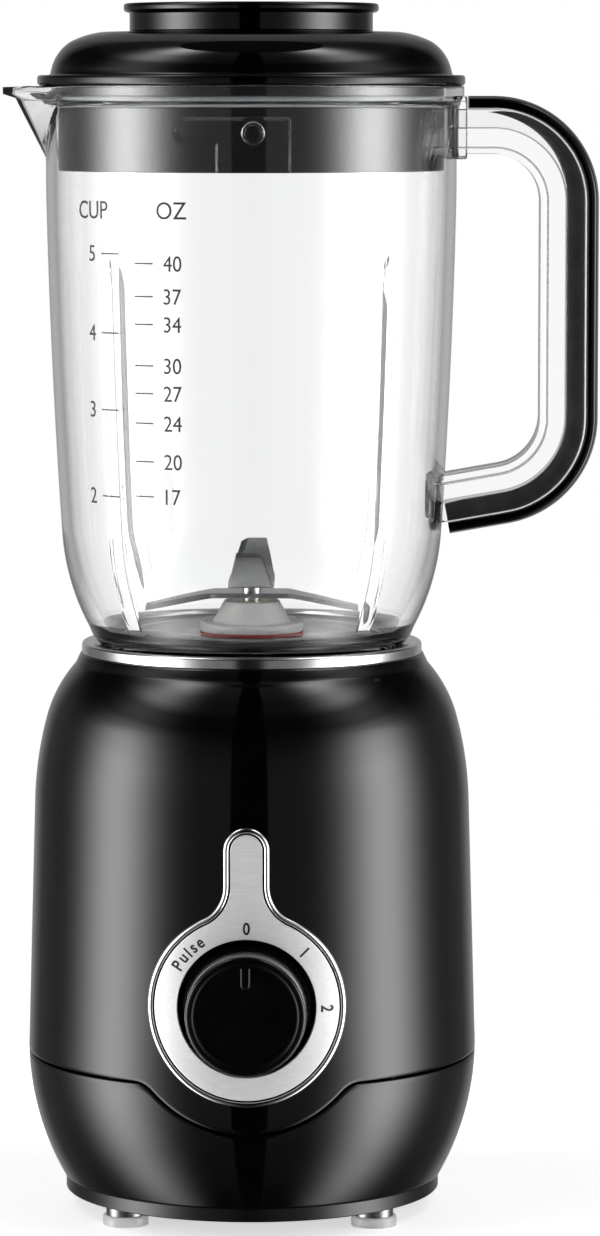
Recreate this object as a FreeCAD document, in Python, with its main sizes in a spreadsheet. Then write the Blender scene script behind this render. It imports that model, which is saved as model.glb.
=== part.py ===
import FreeCAD, Part
import math
import os
import re
import Sketcher

# Countertop blender. Millimetres, +Z up, the front (control panel) faces -Y, the handle +X,
# the spout -X. The origin is on the jar's axis, at the surface that the feet stand on.

doc = FreeCAD.newDocument("CountertopBlender")

# ---------------------------------------------------------------- driving dimensions

sizes = {
    # base housing
    "baseTop": 173.0, "bodyRadius": 69.4, "beltHeight": 51.0, "housingBottom": 10.0,
    "footprintInset": 11.1, "shoulderDrop": 45.0, "shoulderTaper": 2.2, "neckDrop": 18.3,
    "neckInset": 6.4, "lipDrop": 3.4, "lipFlare": 1.6, "rimWidth": 6.1, "wellRadius": 46.8,
    "lowerBulge": 84.0, "shoulderBulge": 109.0, "neckBulge": 41.0, "wall": 2.5, "crownWall": 1.0,
    "deckDepth": 17.0, "deckThickness": 2.5, "seamHeight": 49.3, "seamGap": 0.3,
    "dipRadius": 38.8, "dipBlend": 8.0,
    "postSpread": 20.0, "postRadius": 4.5, "postTop": 100.0,
    "postRibBottom": 60.0, "postRib": 3.0, "pilotRadius": 1.6, "pilotDepth": 12.0,
    # bottom plate and feet
    "plateInset": 0.3, "plateBottom": 5.9, "plateThickness": 2.5, "plateLip": 3.0,
    "fitGap": 0.3, "ventWidth": 3.0, "ventLength": 40.0, "ventPitch": 7.0, "ventCount": 5,
    "footInset": 8.3, "footShareX": 0.76, "footShareY": 0.65, "footPadRadius": 7.0, "footPadHeight": 3.0,
    "footStemRadius": 6.0, "footSpigotRadius": 3.0, "footSpigotTop": 9.4, "footEdge": 0.6,
    "screwRadius": 1.6, "screwHeadRadius": 3.2, "screwHeadHeight": 2.0, "screwLength": 11.0,
    # trim ring
    "ringHeight": 3.5, "ringInset": 0.4, "ringBevel": 1.8, "ringEdge": 0.9,
    # control panel and knob
    "panelHeight": 73.1, "panelDisc": 29.8, "stemHalf": 6.9, "stemTop": 127.4, "panelFlare": 11.0,
    "bezelWidth": 1.6, "bezelRise": 1.2, "panelGroove": 0.5, "plateRise": 0.7,
    "knobHole": 20.75, "knobRadius": 19.1, "knobFaceRadius": 17.95, "knobFaceCircle": 15.95,
    "knobLength": 19.0, "knobEdge": 1.0, "knobDish": 0.4, "knobGap": 0.5, "knobHollow": 8.0,
    "knobWall": 2.4, "knobHub": 6.5, "knobBore": 12.0, "pointerOffset": 11.6,
    "pointerHalf": 1.5, "pointerHeight": 6.5, "pointerLine": 0.7, "pointerRise": 0.4,
    "recessDepth": 5.9, "recessBack": 3.0, "bossRadius": 24.0, "bossProud": 1.0,
    "switchShaftRadius": 3.0, "runningGap": 0.05, "bushingRadius": 4.8,
    "switchWidth": 32.0, "switchHeight": 28.0, "switchDepth": 16.0, "tabWidth": 4.8,
    "tabThickness": 0.8, "tabLength": 7.0, "tabPitch": 8.0,
    # cord gland
    "glandHeight": 26.0, "glandRadius": 6.0, "glandBore": 3.6, "glandFlange": 8.5,
    "glandFlangeThickness": 2.5, "glandStand": 4.0, "glandOut": 9.5, "glandIn": 7.0,
    # motor
    "motorDrop": 21.5, "bracketThickness": 3.0, "bracketHalfX": 17.0, "bracketHalfY": 38.0,
    "motorPostX": 12.0, "motorPostY": 33.0, "motorPostRadius": 4.0, "rubberThickness": 2.5,
    "rubberRadius": 5.5, "bossHeight": 10.0, "bearingBossRadius": 14.0, "bearingRadius": 11.0,
    "bearingWidth": 7.0, "bearingStep": 1.0, "bearingShoulder": 8.0, "bossDown": 2.0, "legGap": 11.0,
    "legInner": 20.0, "legOuter": 27.0, "legHalf": 8.0, "boltRadius": 2.0, "boltGap": 0.1,
    "boltOffset": 23.0, "stackHeight": 30.0, "statorHalfX": 31.0, "statorHalfY": 27.0,
    "statorCorner": 6.0, "statorBore": 17.0, "airGap": 0.4, "coilInner": 17.3,
    "coilThickness": 7.4, "coilHalfY": 21.7, "coilSideWidth": 7.4, "coilOverhang": 8.0,
    "coilGap": 0.3, "windingRadius": 15.0, "motorShaftRadius": 4.0, "lowerLegs": 29.0,
    "crossHalf": 34.0, "commutatorRadius": 11.0, "commutatorHeight": 12.0,
    "commutatorGap": 2.0, "brushGap": 0.3, "brushHalf": 2.5, "brushHeight": 5.0,
    "holderInner": 13.5, "holderOuter": 30.0, "holderHalf": 4.5, "holderHeight": 9.0,
    "holderFoot": 8.0, "fanRadius": 30.0, "fanHub": 8.0, "fanHeight": 11.0, "fanDisc": 1.5,
    "fanBladeCount": 9, "fanBlade": 1.6, "fanGap": 2.0, "shaftTail": 2.0, "shroudRadius": 33.0,
    "shroudWall": 1.5, "fanShroudGap": 2.0,
    # drive
    "sealFlange": 11.0, "sealFlangeHeight": 1.2, "sealRadius": 9.0, "couplerGap": 0.4,
    "couplerFoot": 1.6, "couplerLobe": 13.0, "couplerWaist": 9.5, "couplerHeight": 9.0,
    "couplerHub": 8.0, "couplerHubHeight": 0.9, "drivenRadius": 17.0, "drivenFloor": 1.8,
    "plungerRadius": 2.0, "plungerHole": 2.4, "plungerTail": 9.5,
    "plungerCollar": 3.2, "collarHeight": 1.5, "collarDrop": 6.0, "plungerGap": 0.2,
    "microHalf": 12.0, "microDepth": 6.4, "microHeight": 9.0, "microEar": 3.0, "leverGap": 0.3,
    "leverThickness": 0.7, "leverHalf": 5.0,
    # jar
    "seatThickness": 1.0, "jarHeight": 190.0, "jarRadius": 62.9, "jarShoulder": 158.0,
    "jarWaist": 58.5, "waistHeight": 54.0, "calfStep": 5.5, "calfHeight": 24.0,
    "heelInset": 1.0, "heelHeight": 17.9, "jarPlay": 2.2, "skirtHeight": 17.0,
    "skirtWall": 3.2, "jarWall": 3.0, "jarFloor": 4.0, "upperBulge": 2300.0,
    "waistBulge": 71.0, "heelBulge": 11.0, "innerHeel": 10.0, "innerHeelInset": 9.5,
    "rimFlare": 2.3, "rimBand": 4.6, "rimSlope": 1.4, "skirtStep": 1.4,
    "ribCount": 4, "ribWidth": 5.0, "ribDepth": 2.6, "ribTop": 137.0, "ribTip": 1.5,
    "nubRadius": 3.5, "nubReach": 2.0, "nubDrop": 14.0, "nubOffset": 2.0,
    "spoutReach": 76.2, "spoutNose": 6.0, "spoutLip": 2.8, "spoutLipStep": 3.4,
    "spoutDepth": 25.0, "spoutWall": 2.5,
    # handle
    "handleReach": 106.2, "handleDrop": 3.0, "handleTopRadius": 32.0, "handleBottomRadius": 33.0,
    "handleBottomDrop": 101.0, "handleSweep": 80.0, "handleHalf": 13.0, "coverDepth": 4.0,
    "tongueDepth": 9.8, "tongueHalf": 6.5, "handleDepth": 17.8, "channelGap": 0.15,
    "armSink": 1.4, "coverArmGap": 2.4, "rootSink": 1.9, "coverRootGap": 1.2,
    "tongueRootGap": 3.2, "bossHalf": 14.0, "bossPlate": 3.0, "bossMargin": 1.4,
    # blade bearing and blades
    "hubHole": 9.5, "hubShank": 9.3, "hubFlange": 16.0, "hubFlangeHeight": 2.5,
    "gasketHeight": 1.2, "hubNeck": 12.0, "hubTip": 8.5, "hubNeckHeight": 6.3, "bushRadius": 5.6,
    "bushLength": 7.0, "nutHeight": 3.8, "nutRadius": 15.0, "bladeShaftRadius": 3.0,
    "bladeLift": 1.3, "bladeThickness": 1.5, "bladeSpacing": 3.7, "bladeHalfWidth": 7.0,
    "bladeTipHalf": 4.0, "bladeFlat": 11.0, "upperReach": 29.0, "upperAngle": 35.0,
    "lowerReach": 33.0, "lowerAngle": 12.0, "capNutRadius": 5.4, "capNutHeight": 3.5,
    "capNutDome": 1.5, "capNutDomeRadius": 4.2,
    # lid
    "lidRadius": 65.5, "lidFlange": 3.3, "lidEdge": 0.7, "domeRadius": 61.4, "domeTop": 16.4,
    "crownRadius": 55.4, "crownDrop": 3.0, "crownFlat": 45.7, "crownBulge": 28.5,
    "domeBulge": 13.6, "lidWall": 2.6, "lidSkirtGap": 0.8, "lidSkirt": 25.7,
    "lidSkirtWall": 2.4, "gasketTop": 3.0, "gasketBand": 3.0, "gasketGroove": 1.2,
    "gasketReach": 0.5, "capHole": 34.2, "capCollar": 2.5, "capCollarDepth": 11.4,
    "channelLeft": 9.0, "channelRight": 13.0, "slotLeft": 17.5, "slotTop": 9.5, "slotFloor": 1.0,
    "slotHeight": 7.5,
    # measuring cap
    "capNeckRadius": 37.2, "capNeckHeight": 5.9, "capRadius": 39.0, "capFlange": 2.8,
    "capEdge": 0.7, "capPlay": 0.6, "capTaper": 0.8, "capDepth": 23.4, "capWall": 2.0,
    "capTopWall": 2.5,
}

sheet = doc.addObject("Spreadsheet::Sheet", "Sizes")
for row, (alias, size) in enumerate(sizes.items(), start=1):
    sheet.set(f"A{row}", alias)
    sheet.set(f"B{row}", str(size))
    sheet.setAlias(f"B{row}", alias)
doc.recompute()

ribTurn = 45
bladeTurn = 90

# Places that several sub-parts share, as expressions over the sheet.
deckTop = "(baseTop - deckDepth)"
deckBottom = f"({deckTop} - deckThickness)"
shoulderHeight = "(baseTop - shoulderDrop)"
neckHeight = "(baseTop - neckDrop)"
lipHeight = "(baseTop - lipDrop)"
footprint = "(bodyRadius - footprintInset)"
shoulderRadius = "(bodyRadius - shoulderTaper)"
neckRadius = "(bodyRadius - neckInset)"
rimRadius = "(wellRadius + rimWidth)"
lipRadius = f"({rimRadius} + lipFlare)"
plateTop = "(plateBottom + plateThickness)"
far = "(2 * bodyRadius)"
innerFootprint = f"({footprint} - wall)"
postCircle = f"({innerFootprint} - fitGap - wall - fitGap - postRadius)"
postReach = f"(sqrt({postCircle}^2 - postSpread^2))"
footX = f"(({footprint} - footInset) * footShareX)"
footY = f"(({footprint} - footInset) * footShareY)"
recessFloor = "(bodyRadius - recessDepth)"
bossBack = f"({recessFloor} - recessBack)"

jarFoot = f"({deckTop} + seatThickness)"
rimTop = f"({jarFoot} + jarHeight)"
floorBottom = f"({jarFoot} + skirtHeight)"
floorTop = f"({floorBottom} + jarFloor)"
jarSkirt = "(wellRadius - jarPlay)"
jarCalf = f"({jarSkirt} + calfStep)"
plungerReach = f"({jarSkirt} - skirtWall / 2)"
jarInner = "(jarRadius - jarWall)"
rimRadiusJar = "(jarRadius + rimFlare)"
nubHeight = f"({rimTop} - nubDrop)"
lidTop = f"({rimTop} + domeTop)"
capTop = f"({lidTop} + capNeckHeight + capFlange)"
# the jar's radius where the handle's lower arm meets it, so that both follow a taller jar
armHeight = "(jarHeight - handleBottomDrop - handleBottomRadius * sin(handleSweep))"
armShare = f"max(0; min(1; ({armHeight} - waistHeight) / (jarShoulder - waistHeight)))"
armRadius = f"(jarWaist + (jarRadius - jarWaist) * {armShare})"
handleRoot = "(jarRadius - rootSink)"
handleEnd = f"({armRadius} - armSink)"
coverRoot = f"({rimRadiusJar} + coverRootGap)"
coverEnd = f"({armRadius} + coverArmGap)"
tongueRoot = f"({rimRadiusJar} + tongueRootGap)"

bracketTop = f"({deckTop} - motorDrop - rubberThickness)"
bracketBottom = f"({bracketTop} - bracketThickness)"
stackTop = f"({bracketBottom} - legGap)"
stackBottom = f"({stackTop} - stackHeight)"
lowerBarTop = f"({stackBottom} - lowerLegs)"
lowerBarBottom = f"({lowerBarTop} - bracketThickness)"
lowerBossBottom = f"({lowerBarBottom} - 2 * bossDown)"
coilBottom = f"({stackBottom} - coilOverhang)"
commutatorTop = f"({coilBottom} - commutatorGap)"
fanTop = f"({lowerBossBottom} - fanGap)"
fanBottom = f"({fanTop} - fanHeight)"
couplerBottom = f"({deckTop} + couplerFoot)"
couplerTop = f"({couplerBottom} + couplerHubHeight + couplerHeight)"
drivenTop = f"({couplerTop} + couplerGap + drivenFloor)"
bladeSeat = f"({floorTop} + gasketHeight + hubFlangeHeight + hubNeckHeight + bladeLift)"
upperBladeSeat = f"({bladeSeat} + bladeSpacing)"


def bound(expression):
    """The expression with each alias pointed at the sheet."""
    return re.sub(r"[A-Za-z]\w*", lambda word: f"Sizes.{word[0]}" if word[0] in sizes else word[0],
                  str(expression))


def value(expression):
    """The present number of an expression."""
    return float(doc.getObject("Sizes").evalExpression(bound(expression)))


# ---------------------------------------------------------------- drawing helpers

def newBody(label):
    body = doc.addObject("PartDesign::Body", label)
    body.AllowCompound = True
    return body


def originPlane(body, role):
    return next(item for item in body.Origin.OriginFeatures if item.Role == role)


def arcBetween(start, end, radius):
    """A short arc: a positive radius turns left along the travel, a negative one right."""
    chord = end - start
    middle = (start + end) * 0.5
    rise = math.sqrt(radius ** 2 - (chord.Length / 2) ** 2)
    left = FreeCAD.Vector(-chord.y, chord.x, 0).normalize()
    centre = middle + left * (rise if radius > 0 else -rise)
    first, second = (start, end) if radius > 0 else (end, start)
    startAngle = math.atan2(first.y - centre.y, first.x - centre.x)
    endAngle = math.atan2(second.y - centre.y, second.x - centre.x)
    if endAngle < startAngle:
        endAngle += 2 * math.pi
    circle = Part.Circle(centre, FreeCAD.Vector(0, 0, 1), abs(radius))
    return Part.ArcOfCircle(circle, startAngle, endAngle)


def constrain(sketch, kind, *places, expression):
    index = sketch.addConstraint(Sketcher.Constraint(kind, *places, value(expression)))
    sketch.setExpression(f"Constraints[{index}]", bound(expression))


def addOutline(sketch, points, closed=True):
    """Edges between (x, y) points. A third entry is the radius of the arc that ends at the point."""
    places = [FreeCAD.Vector(value(point[0]), value(point[1]), 0) for point in points]
    ends = []
    for index in range(0 if closed else 1, len(points)):
        start, end = places[index - 1], places[index]
        if len(points[index]) == 3:
            radius = value(points[index][2])
            edge = sketch.addGeometry(arcBetween(start, end, radius), False)
            constrain(sketch, "Radius", edge, expression=f"abs({points[index][2]})")
            order = (1, 2) if radius > 0 else (2, 1)
        else:
            edge = sketch.addGeometry(Part.LineSegment(start, end), False)
            order = (1, 2)
        ends.append((edge, order[0], order[1]))
        constrain(sketch, "DistanceX", -1, 1, edge, order[1], expression=points[index][0])
        constrain(sketch, "DistanceY", -1, 1, edge, order[1], expression=points[index][1])
    if not closed:
        constrain(sketch, "DistanceX", -1, 1, ends[0][0], ends[0][1], expression=points[0][0])
        constrain(sketch, "DistanceY", -1, 1, ends[0][0], ends[0][1], expression=points[0][1])
    for index, (edge, first, last) in enumerate(ends):
        following = ends[(index + 1) % len(ends)]
        if closed or index + 1 < len(ends):
            sketch.addConstraint(Sketcher.Constraint("Coincident", edge, last, following[0],
                                                     following[1]))


def addCircle(sketch, x, y, radius):
    centre = FreeCAD.Vector(value(x), value(y), 0)
    circle = Part.Circle(centre, FreeCAD.Vector(0, 0, 1), value(radius))
    edge = sketch.addGeometry(circle, False)
    constrain(sketch, "Radius", edge, expression=radius)
    constrain(sketch, "DistanceX", -1, 1, edge, 3, expression=x)
    constrain(sketch, "DistanceY", -1, 1, edge, 3, expression=y)


def newSketch(body, role, outlines=(), circles=(), offset="0", closed=True):
    """A sketch on one of the body's origin planes, moved along the plane's normal by the offset."""
    sketch = body.newObject("Sketcher::SketchObject", f"{body.Name}Sketch")
    sketch.AttachmentSupport = [(originPlane(body, role), "")]
    sketch.MapMode = "FlatFace"
    sketch.setExpression("AttachmentOffset.Base.z", bound(offset))
    for points in outlines:
        addOutline(sketch, points, closed)
    for circle in circles:
        addCircle(sketch, *circle)
    return sketch


def pad(body, sketch, length, reverse=False, symmetric=False):
    feature = body.newObject("PartDesign::Pad", f"{body.Name}Pad")
    feature.Profile = sketch
    feature.setExpression("Length", bound(length))
    feature.SideType = "Symmetric" if symmetric else "One side"
    feature.Reversed = reverse
    return feature


def pocket(body, sketch, length, reverse=False, symmetric=False):
    feature = body.newObject("PartDesign::Pocket", f"{body.Name}Pocket")
    feature.Profile = sketch
    feature.setExpression("Length", bound(length))
    feature.SideType = "Symmetric" if symmetric else "One side"
    feature.Reversed = reverse
    return feature


def revolve(body, points):
    """A solid of revolution about Z from (radius, height) points."""
    feature = body.newObject("PartDesign::Revolution", f"{body.Name}Turn")
    feature.Profile = newSketch(body, "XZ_Plane", [points])
    feature.ReferenceAxis = (feature.Profile[0], ["V_Axis"])
    feature.Angle = 360
    return feature


def polarPattern(body, originals, count):
    feature = body.newObject("PartDesign::PolarPattern", f"{body.Name}Pattern")
    feature.Originals = originals
    feature.Axis = (originPlane(body, "Z_Axis"), [""])
    feature.Angle = 360
    feature.setExpression("Occurrences", bound(count))
    body.Tip = feature
    return feature


def ring(label, inner, outer, bottom, top):
    """A plain ring about Z, or a disc where the inner radius is zero."""
    body = newBody(label)
    revolve(body, [(inner, bottom), (outer, bottom), (outer, top), (inner, top)])
    return body


def box(x0, x1, y0, y1):
    return [(x0, y0), (x1, y0), (x1, y1), (x0, y1)]


def fourPlaces(x, y, radius):
    return [(f"{sx} * {x}", f"{sy} * {y}", radius) for sx in (-1, 1) for sy in (-1, 1)]


def placeFacingFront(body, distance, height):
    """Turn a piece built about local Z so that Z points to the front, and move it into place."""
    body.Placement = FreeCAD.Placement(FreeCAD.Vector(), FreeCAD.Rotation(FreeCAD.Vector(1, 0, 0), 90))
    body.setExpression(".Placement.Base.y", bound(f"-({distance})"))
    body.setExpression(".Placement.Base.z", bound(height))


# ---------------------------------------------------------------- base housing

def housingOutside(extra="0"):
    """The outside of the base from its bottom edge to its neck, moved outwards by extra."""
    return [
        (f"{footprint} + {extra}", "housingBottom"),
        (f"bodyRadius + {extra}", "beltHeight", f"lowerBulge + {extra}"),
        (f"{shoulderRadius} + {extra}", shoulderHeight),
        (f"{neckRadius} + {extra}", neckHeight, f"shoulderBulge + {extra}"),
    ]


def reversedOutline(points):
    """The same outline travelled the other way, so that each arc turns the other way too."""
    backwards = []
    for index in range(len(points) - 1, -1, -1):
        point = points[index][:2]
        if index + 1 < len(points) and len(points[index + 1]) == 3:
            point += (f"-({points[index + 1][2]})",)
        backwards.append(point)
    return backwards


def seamCurve(gap):
    """The seam seen from the front, right to left: level, with a round dip under the panel."""
    blend = f"(dipBlend - {gap})"
    dip = f"(dipRadius + {gap})"
    level = f"(seamHeight - {gap})"
    drop = f"(panelHeight - {level} + {blend})"
    blendX = f"sqrt(({dip} + {blend})^2 - {drop}^2)"
    share = f"({dip} / ({dip} + {blend}))"
    tangentX = f"{blendX} * {share}"
    tangentZ = f"panelHeight - {drop} * {share}"
    return [
        (blendX, level),
        (tangentX, tangentZ, blend),
        ("0", f"panelHeight - {dip}", f"-{dip}"),
        (f"-{tangentX}", tangentZ, f"-{dip}"),
        (f"-{blendX}", level, blend),
    ]


def makeUpperHousing():
    body = newBody("upper_housing")
    inside = reversedOutline(housingOutside("-wall"))
    revolve(body, housingOutside() + [
        (lipRadius, lipHeight, "neckBulge"),
        (rimRadius, "baseTop"),
        ("wellRadius", "baseTop"),
        ("wellRadius", deckTop),
        ("sealRadius", deckTop),
        ("sealRadius", deckBottom),
        ("wellRadius + wall", deckBottom),
        ("wellRadius + wall", f"{lipHeight} - crownWall"),
        (f"{lipRadius} - wall", f"{lipHeight} - crownWall"),
        (f"{neckRadius} - wall", f"{neckHeight} - crownWall", "-(neckBulge - wall)"),
        inside[1],
    ] + inside[2:])
    # motor posts under the deck
    posts = newSketch(body, "XY_Plane", circles=fourPlaces("motorPostX", "motorPostY",
                                                           "motorPostRadius"), offset=deckBottom)
    pad(body, posts, f"{deckBottom} - {bracketTop} - rubberThickness", reverse=True)
    # the back of the knob recess
    boss = newSketch(body, "XZ_Plane", circles=[("0", "panelHeight", "bossRadius")],
                     offset=bossBack)
    pad(body, boss, "recessBack + bossProud")
    # everything below the seam comes away
    front = newSketch(body, "XZ_Plane", [[(f"-{far}", "0"), (far, "0"), (far, "seamHeight")]
                                         + seamCurve("0") + [(f"-{far}", "seamHeight")]])
    pocket(body, front, far, reverse=True)
    back = newSketch(body, "XZ_Plane", [box(f"-{far}", far, "0", "seamHeight")])
    pocket(body, back, far)
    # screw posts that reach down to the bottom plate, each with a rib to the wall
    columns = newSketch(body, "XY_Plane", circles=fourPlaces(postReach, "postSpread",
                                                             "postRadius"), offset=plateTop)
    pad(body, columns, f"postTop - {plateTop}")
    reach = "(sqrt((bodyRadius - wall)^2 - postSpread^2))"
    ribs = [box(f"{side} * {postReach}", f"{side} * {reach}",
                f"{end} * postSpread - postRib / 2", f"{end} * postSpread + postRib / 2")
            for side in (-1, 1) for end in (-1, 1)]
    pad(body, newSketch(body, "XY_Plane", ribs, offset="postRibBottom"), "postTop - postRibBottom")
    pilots = newSketch(body, "XY_Plane", circles=fourPlaces(postReach, "postSpread",
                                                            "pilotRadius"), offset=plateTop)
    pocket(body, pilots, "pilotDepth", reverse=True)
    pilots = newSketch(body, "XY_Plane", circles=fourPlaces("motorPostX", "motorPostY",
                                                            "pilotRadius"),
                       offset=f"{bracketTop} + rubberThickness")
    pocket(body, pilots, "pilotDepth", reverse=True)
    # knob recess, the hole for the switch and the hole for the interlock plunger
    recess = newSketch(body, "XZ_Plane", circles=[("0", "panelHeight", "knobHole")], offset=far)
    pocket(body, recess, f"{far} - {recessFloor}")
    bushing = newSketch(body, "XZ_Plane", circles=[("0", "panelHeight", "bushingRadius")],
                        offset=far)
    pocket(body, bushing, f"{far} - {bossBack} + wall")
    plunger = newSketch(body, "XY_Plane", circles=[("0", plungerReach,
                                                    "plungerRadius + runningGap")], offset=deckTop)
    pocket(body, plunger, "deckThickness + wall")
    return body


def makeLowerHousing():
    body = newBody("lower_housing")
    revolve(body, [
        (footprint, "housingBottom"),
        ("bodyRadius", "beltHeight", "lowerBulge"),
        ("bodyRadius - wall", "beltHeight"),
        (innerFootprint, "housingBottom", "-(lowerBulge - wall)"),
    ])
    level = "(seamHeight - seamGap)"
    above = newSketch(body, "XZ_Plane", [box(f"-{far}", far, level, "beltHeight + wall")])
    pocket(body, above, f"2 * {far}", symmetric=True)
    dip = newSketch(body, "XZ_Plane", [seamCurve("seamGap") + [
        ("-dipRadius", "beltHeight + wall"), ("dipRadius", "beltHeight + wall")]])
    pocket(body, dip, far, reverse=True)
    gland = newSketch(body, "XZ_Plane", circles=[("0", "glandHeight", "glandRadius")])
    pocket(body, gland, far)
    return body


def makeTrimRing():
    body = newBody("trim_ring")
    inner = "(wellRadius + ringInset)"
    outer = f"({rimRadius} - ringInset)"
    top = "(baseTop + ringHeight)"
    revolve(body, [
        (inner, "baseTop"),
        (outer, "baseTop"),
        (outer, f"{top} - ringEdge"),
        (f"{outer} - ringEdge", top, "ringEdge"),
        (f"{inner} + ringBevel", top),
        (inner, f"{top} - ringBevel"),
    ])
    return body


def makeBottomPlate():
    body = newBody("bottom_plate")
    outer = f"({footprint} - plateInset)"
    spigot = f"({innerFootprint} - fitGap)"
    revolve(body, [
        ("0", "plateBottom"),
        (f"{outer} - plateInset", "plateBottom"),
        (outer, "plateBottom + plateInset"),
        (outer, "housingBottom"),
        (spigot, "housingBottom"),
        (spigot, "housingBottom + plateLip"),
        (f"{spigot} - wall", "housingBottom + plateLip"),
        (f"{spigot} - wall", plateTop),
        ("0", plateTop),
    ])
    holes = fourPlaces(postReach, "postSpread", "screwRadius") + fourPlaces(
        footX, footY, "footSpigotRadius")
    pocket(body, newSketch(body, "XY_Plane", circles=holes), plateTop, reverse=True)
    middle = "((ventCount - 1) / 2)"
    vents = []
    for index in range(int(sizes["ventCount"])):
        x = f"({index} - {middle}) * ventPitch"
        vents.append(box(f"{x} - ventWidth / 2", f"{x} + ventWidth / 2",
                         "-ventLength / 2", "ventLength / 2"))
    pocket(body, newSketch(body, "XY_Plane", vents), plateTop, reverse=True)
    return body


def makeFoot(number, signX, signY):
    stem = newBody(f"foot_stem_{number}")
    revolve(stem, [
        ("0", "footPadHeight"),
        ("footStemRadius", "footPadHeight"),
        ("footStemRadius", "plateBottom"),
        ("footSpigotRadius", "plateBottom"),
        ("footSpigotRadius", "footSpigotTop"),
        ("0", "footSpigotTop"),
    ])
    cushion = newBody(f"foot_pad_{number}")
    revolve(cushion, [
        ("0", "0"),
        ("footPadRadius", "0"),
        ("footPadRadius", "footPadHeight - footEdge"),
        ("footPadRadius - footEdge", "footPadHeight", "footEdge"),
        ("0", "footPadHeight"),
    ])
    for piece in (stem, cushion):
        piece.setExpression(".Placement.Base.x", bound(f"{signX} * {footX}"))
        piece.setExpression(".Placement.Base.y", bound(f"{signY} * {footY}"))
    return [stem, cushion]


def makeScrews(label, x, y, seat, length):
    """Four pan-head screws pushed up from below, with their heads under the seat."""
    body = newBody(label)
    shanks = newSketch(body, "XY_Plane", circles=fourPlaces(x, y, "screwRadius"), offset=seat)
    pad(body, shanks, length)
    heads = newSketch(body, "XY_Plane", circles=fourPlaces(x, y, "screwHeadRadius"), offset=seat)
    pad(body, heads, "screwHeadHeight", reverse=True)
    return body


def makeCordGland():
    body = newBody("cord_gland")
    wallAtGland = "(bodyRadius - footprintInset / 2)"
    revolve(body, [
        ("glandBore", f"{wallAtGland} - glandIn"),
        ("glandRadius", f"{wallAtGland} - glandIn"),
        ("glandRadius", f"{wallAtGland} + glandStand"),
        ("glandFlange", f"{wallAtGland} + glandStand"),
        ("glandFlange", f"{wallAtGland} + glandStand + glandFlangeThickness"),
        ("glandRadius", f"{wallAtGland} + glandStand + glandFlangeThickness"),
        ("glandRadius", f"{wallAtGland} + glandOut"),
        ("glandBore", f"{wallAtGland} + glandOut"),
    ])
    body.Placement = FreeCAD.Placement(FreeCAD.Vector(), FreeCAD.Rotation(FreeCAD.Vector(1, 0, 0), -90))
    body.setExpression(".Placement.Base.z", bound("glandHeight"))
    return body


# ---------------------------------------------------------------- control panel

def keyhole(inset):
    """The panel's outline seen from the front, drawn inwards by the inset."""
    disc = f"(panelDisc - {inset})"
    half = f"(stemHalf - {inset})"
    flare = f"(panelFlare + {inset})"
    across = f"({half} + {flare})"
    rise = f"(sqrt(({disc} + {flare})^2 - {across}^2))"
    share = f"({disc} / ({disc} + {flare}))"
    return [
        ("0", f"panelHeight - {disc}"),
        (f"{across} * {share}", f"panelHeight + {rise} * {share}", disc),
        (half, f"panelHeight + {rise}", f"-{flare}"),
        (half, "stemTop - stemHalf"),
        ("0", f"stemTop - {inset}", half),
        (f"-{half}", "stemTop - stemHalf", half),
        (f"-{half}", f"panelHeight + {rise}"),
        (f"-{across} * {share}", f"panelHeight + {rise} * {share}", f"-{flare}"),
        ("0", f"panelHeight - {disc}", disc),
    ]


def keyholeOutline(inset):
    points = keyhole(inset)
    return [points[-1]] + points[1:-1]


def makePanelPiece(label, rise, outlines, circles=()):
    """A skin of the housing, rise thick, kept inside the outlines seen from the front."""
    skin = newBody(f"{label}_skin")
    revolve(skin, housingOutside() + reversedOutline(housingOutside(rise)))
    prism = newBody(f"{label}_prism")
    pad(prism, newSketch(prism, "XZ_Plane", outlines, circles), far)
    piece = doc.addObject("Part::Common", label)
    piece.Base = skin
    piece.Tool = prism
    return piece


def makeKnob():
    body = newBody("speed_knob")
    revolve(body, [
        ("switchShaftRadius", "0"),
        ("knobHub", "0"),
        ("knobHub", "knobHollow"),
        ("knobRadius - knobWall", "knobHollow"),
        ("knobRadius - knobWall", "0"),
        ("knobRadius", "0"),
        ("knobFaceRadius", "knobLength - knobEdge"),
        ("knobFaceRadius - knobEdge", "knobLength", "knobEdge"),
        ("knobFaceCircle", "knobLength"),
        ("knobFaceCircle", "knobLength - knobDish"),
        ("0", "knobLength - knobDish"),
        ("0", "knobBore"),
        ("switchShaftRadius", "knobBore"),
    ])
    pointers = []
    for inset in ("0", "pointerLine"):
        half = f"(pointerHalf - {inset})"
        reach = f"(pointerHeight / 2 - pointerHalf)"
        pointers.append([
            (half, f"pointerOffset - {reach}"),
            (half, f"pointerOffset + {reach}"),
            ("0", f"pointerOffset + {reach} + {half}", half),
            (f"-{half}", f"pointerOffset + {reach}", half),
            (f"-{half}", f"pointerOffset - {reach}"),
            ("0", f"pointerOffset - {reach} - {half}", half),
        ])
        first = pointers[-1][0]
        pointers[-1][0] = (first[0], first[1], half)
    mark = newSketch(body, "XY_Plane", pointers, offset="knobLength - knobDish")
    pad(body, mark, "pointerRise")
    placeFacingFront(body, f"{recessFloor} + knobGap", "panelHeight")
    return body


def makeSwitchShaft():
    body = newBody("switch_shaft")
    revolve(body, [
        ("0", "-(recessBack + knobGap + switchDepth / 2)"),
        ("switchShaftRadius", "-(recessBack + knobGap + switchDepth / 2)"),
        ("switchShaftRadius", "knobBore"),
        ("0", "knobBore"),
    ])
    placeFacingFront(body, f"{recessFloor} + knobGap", "panelHeight")
    return body


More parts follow.
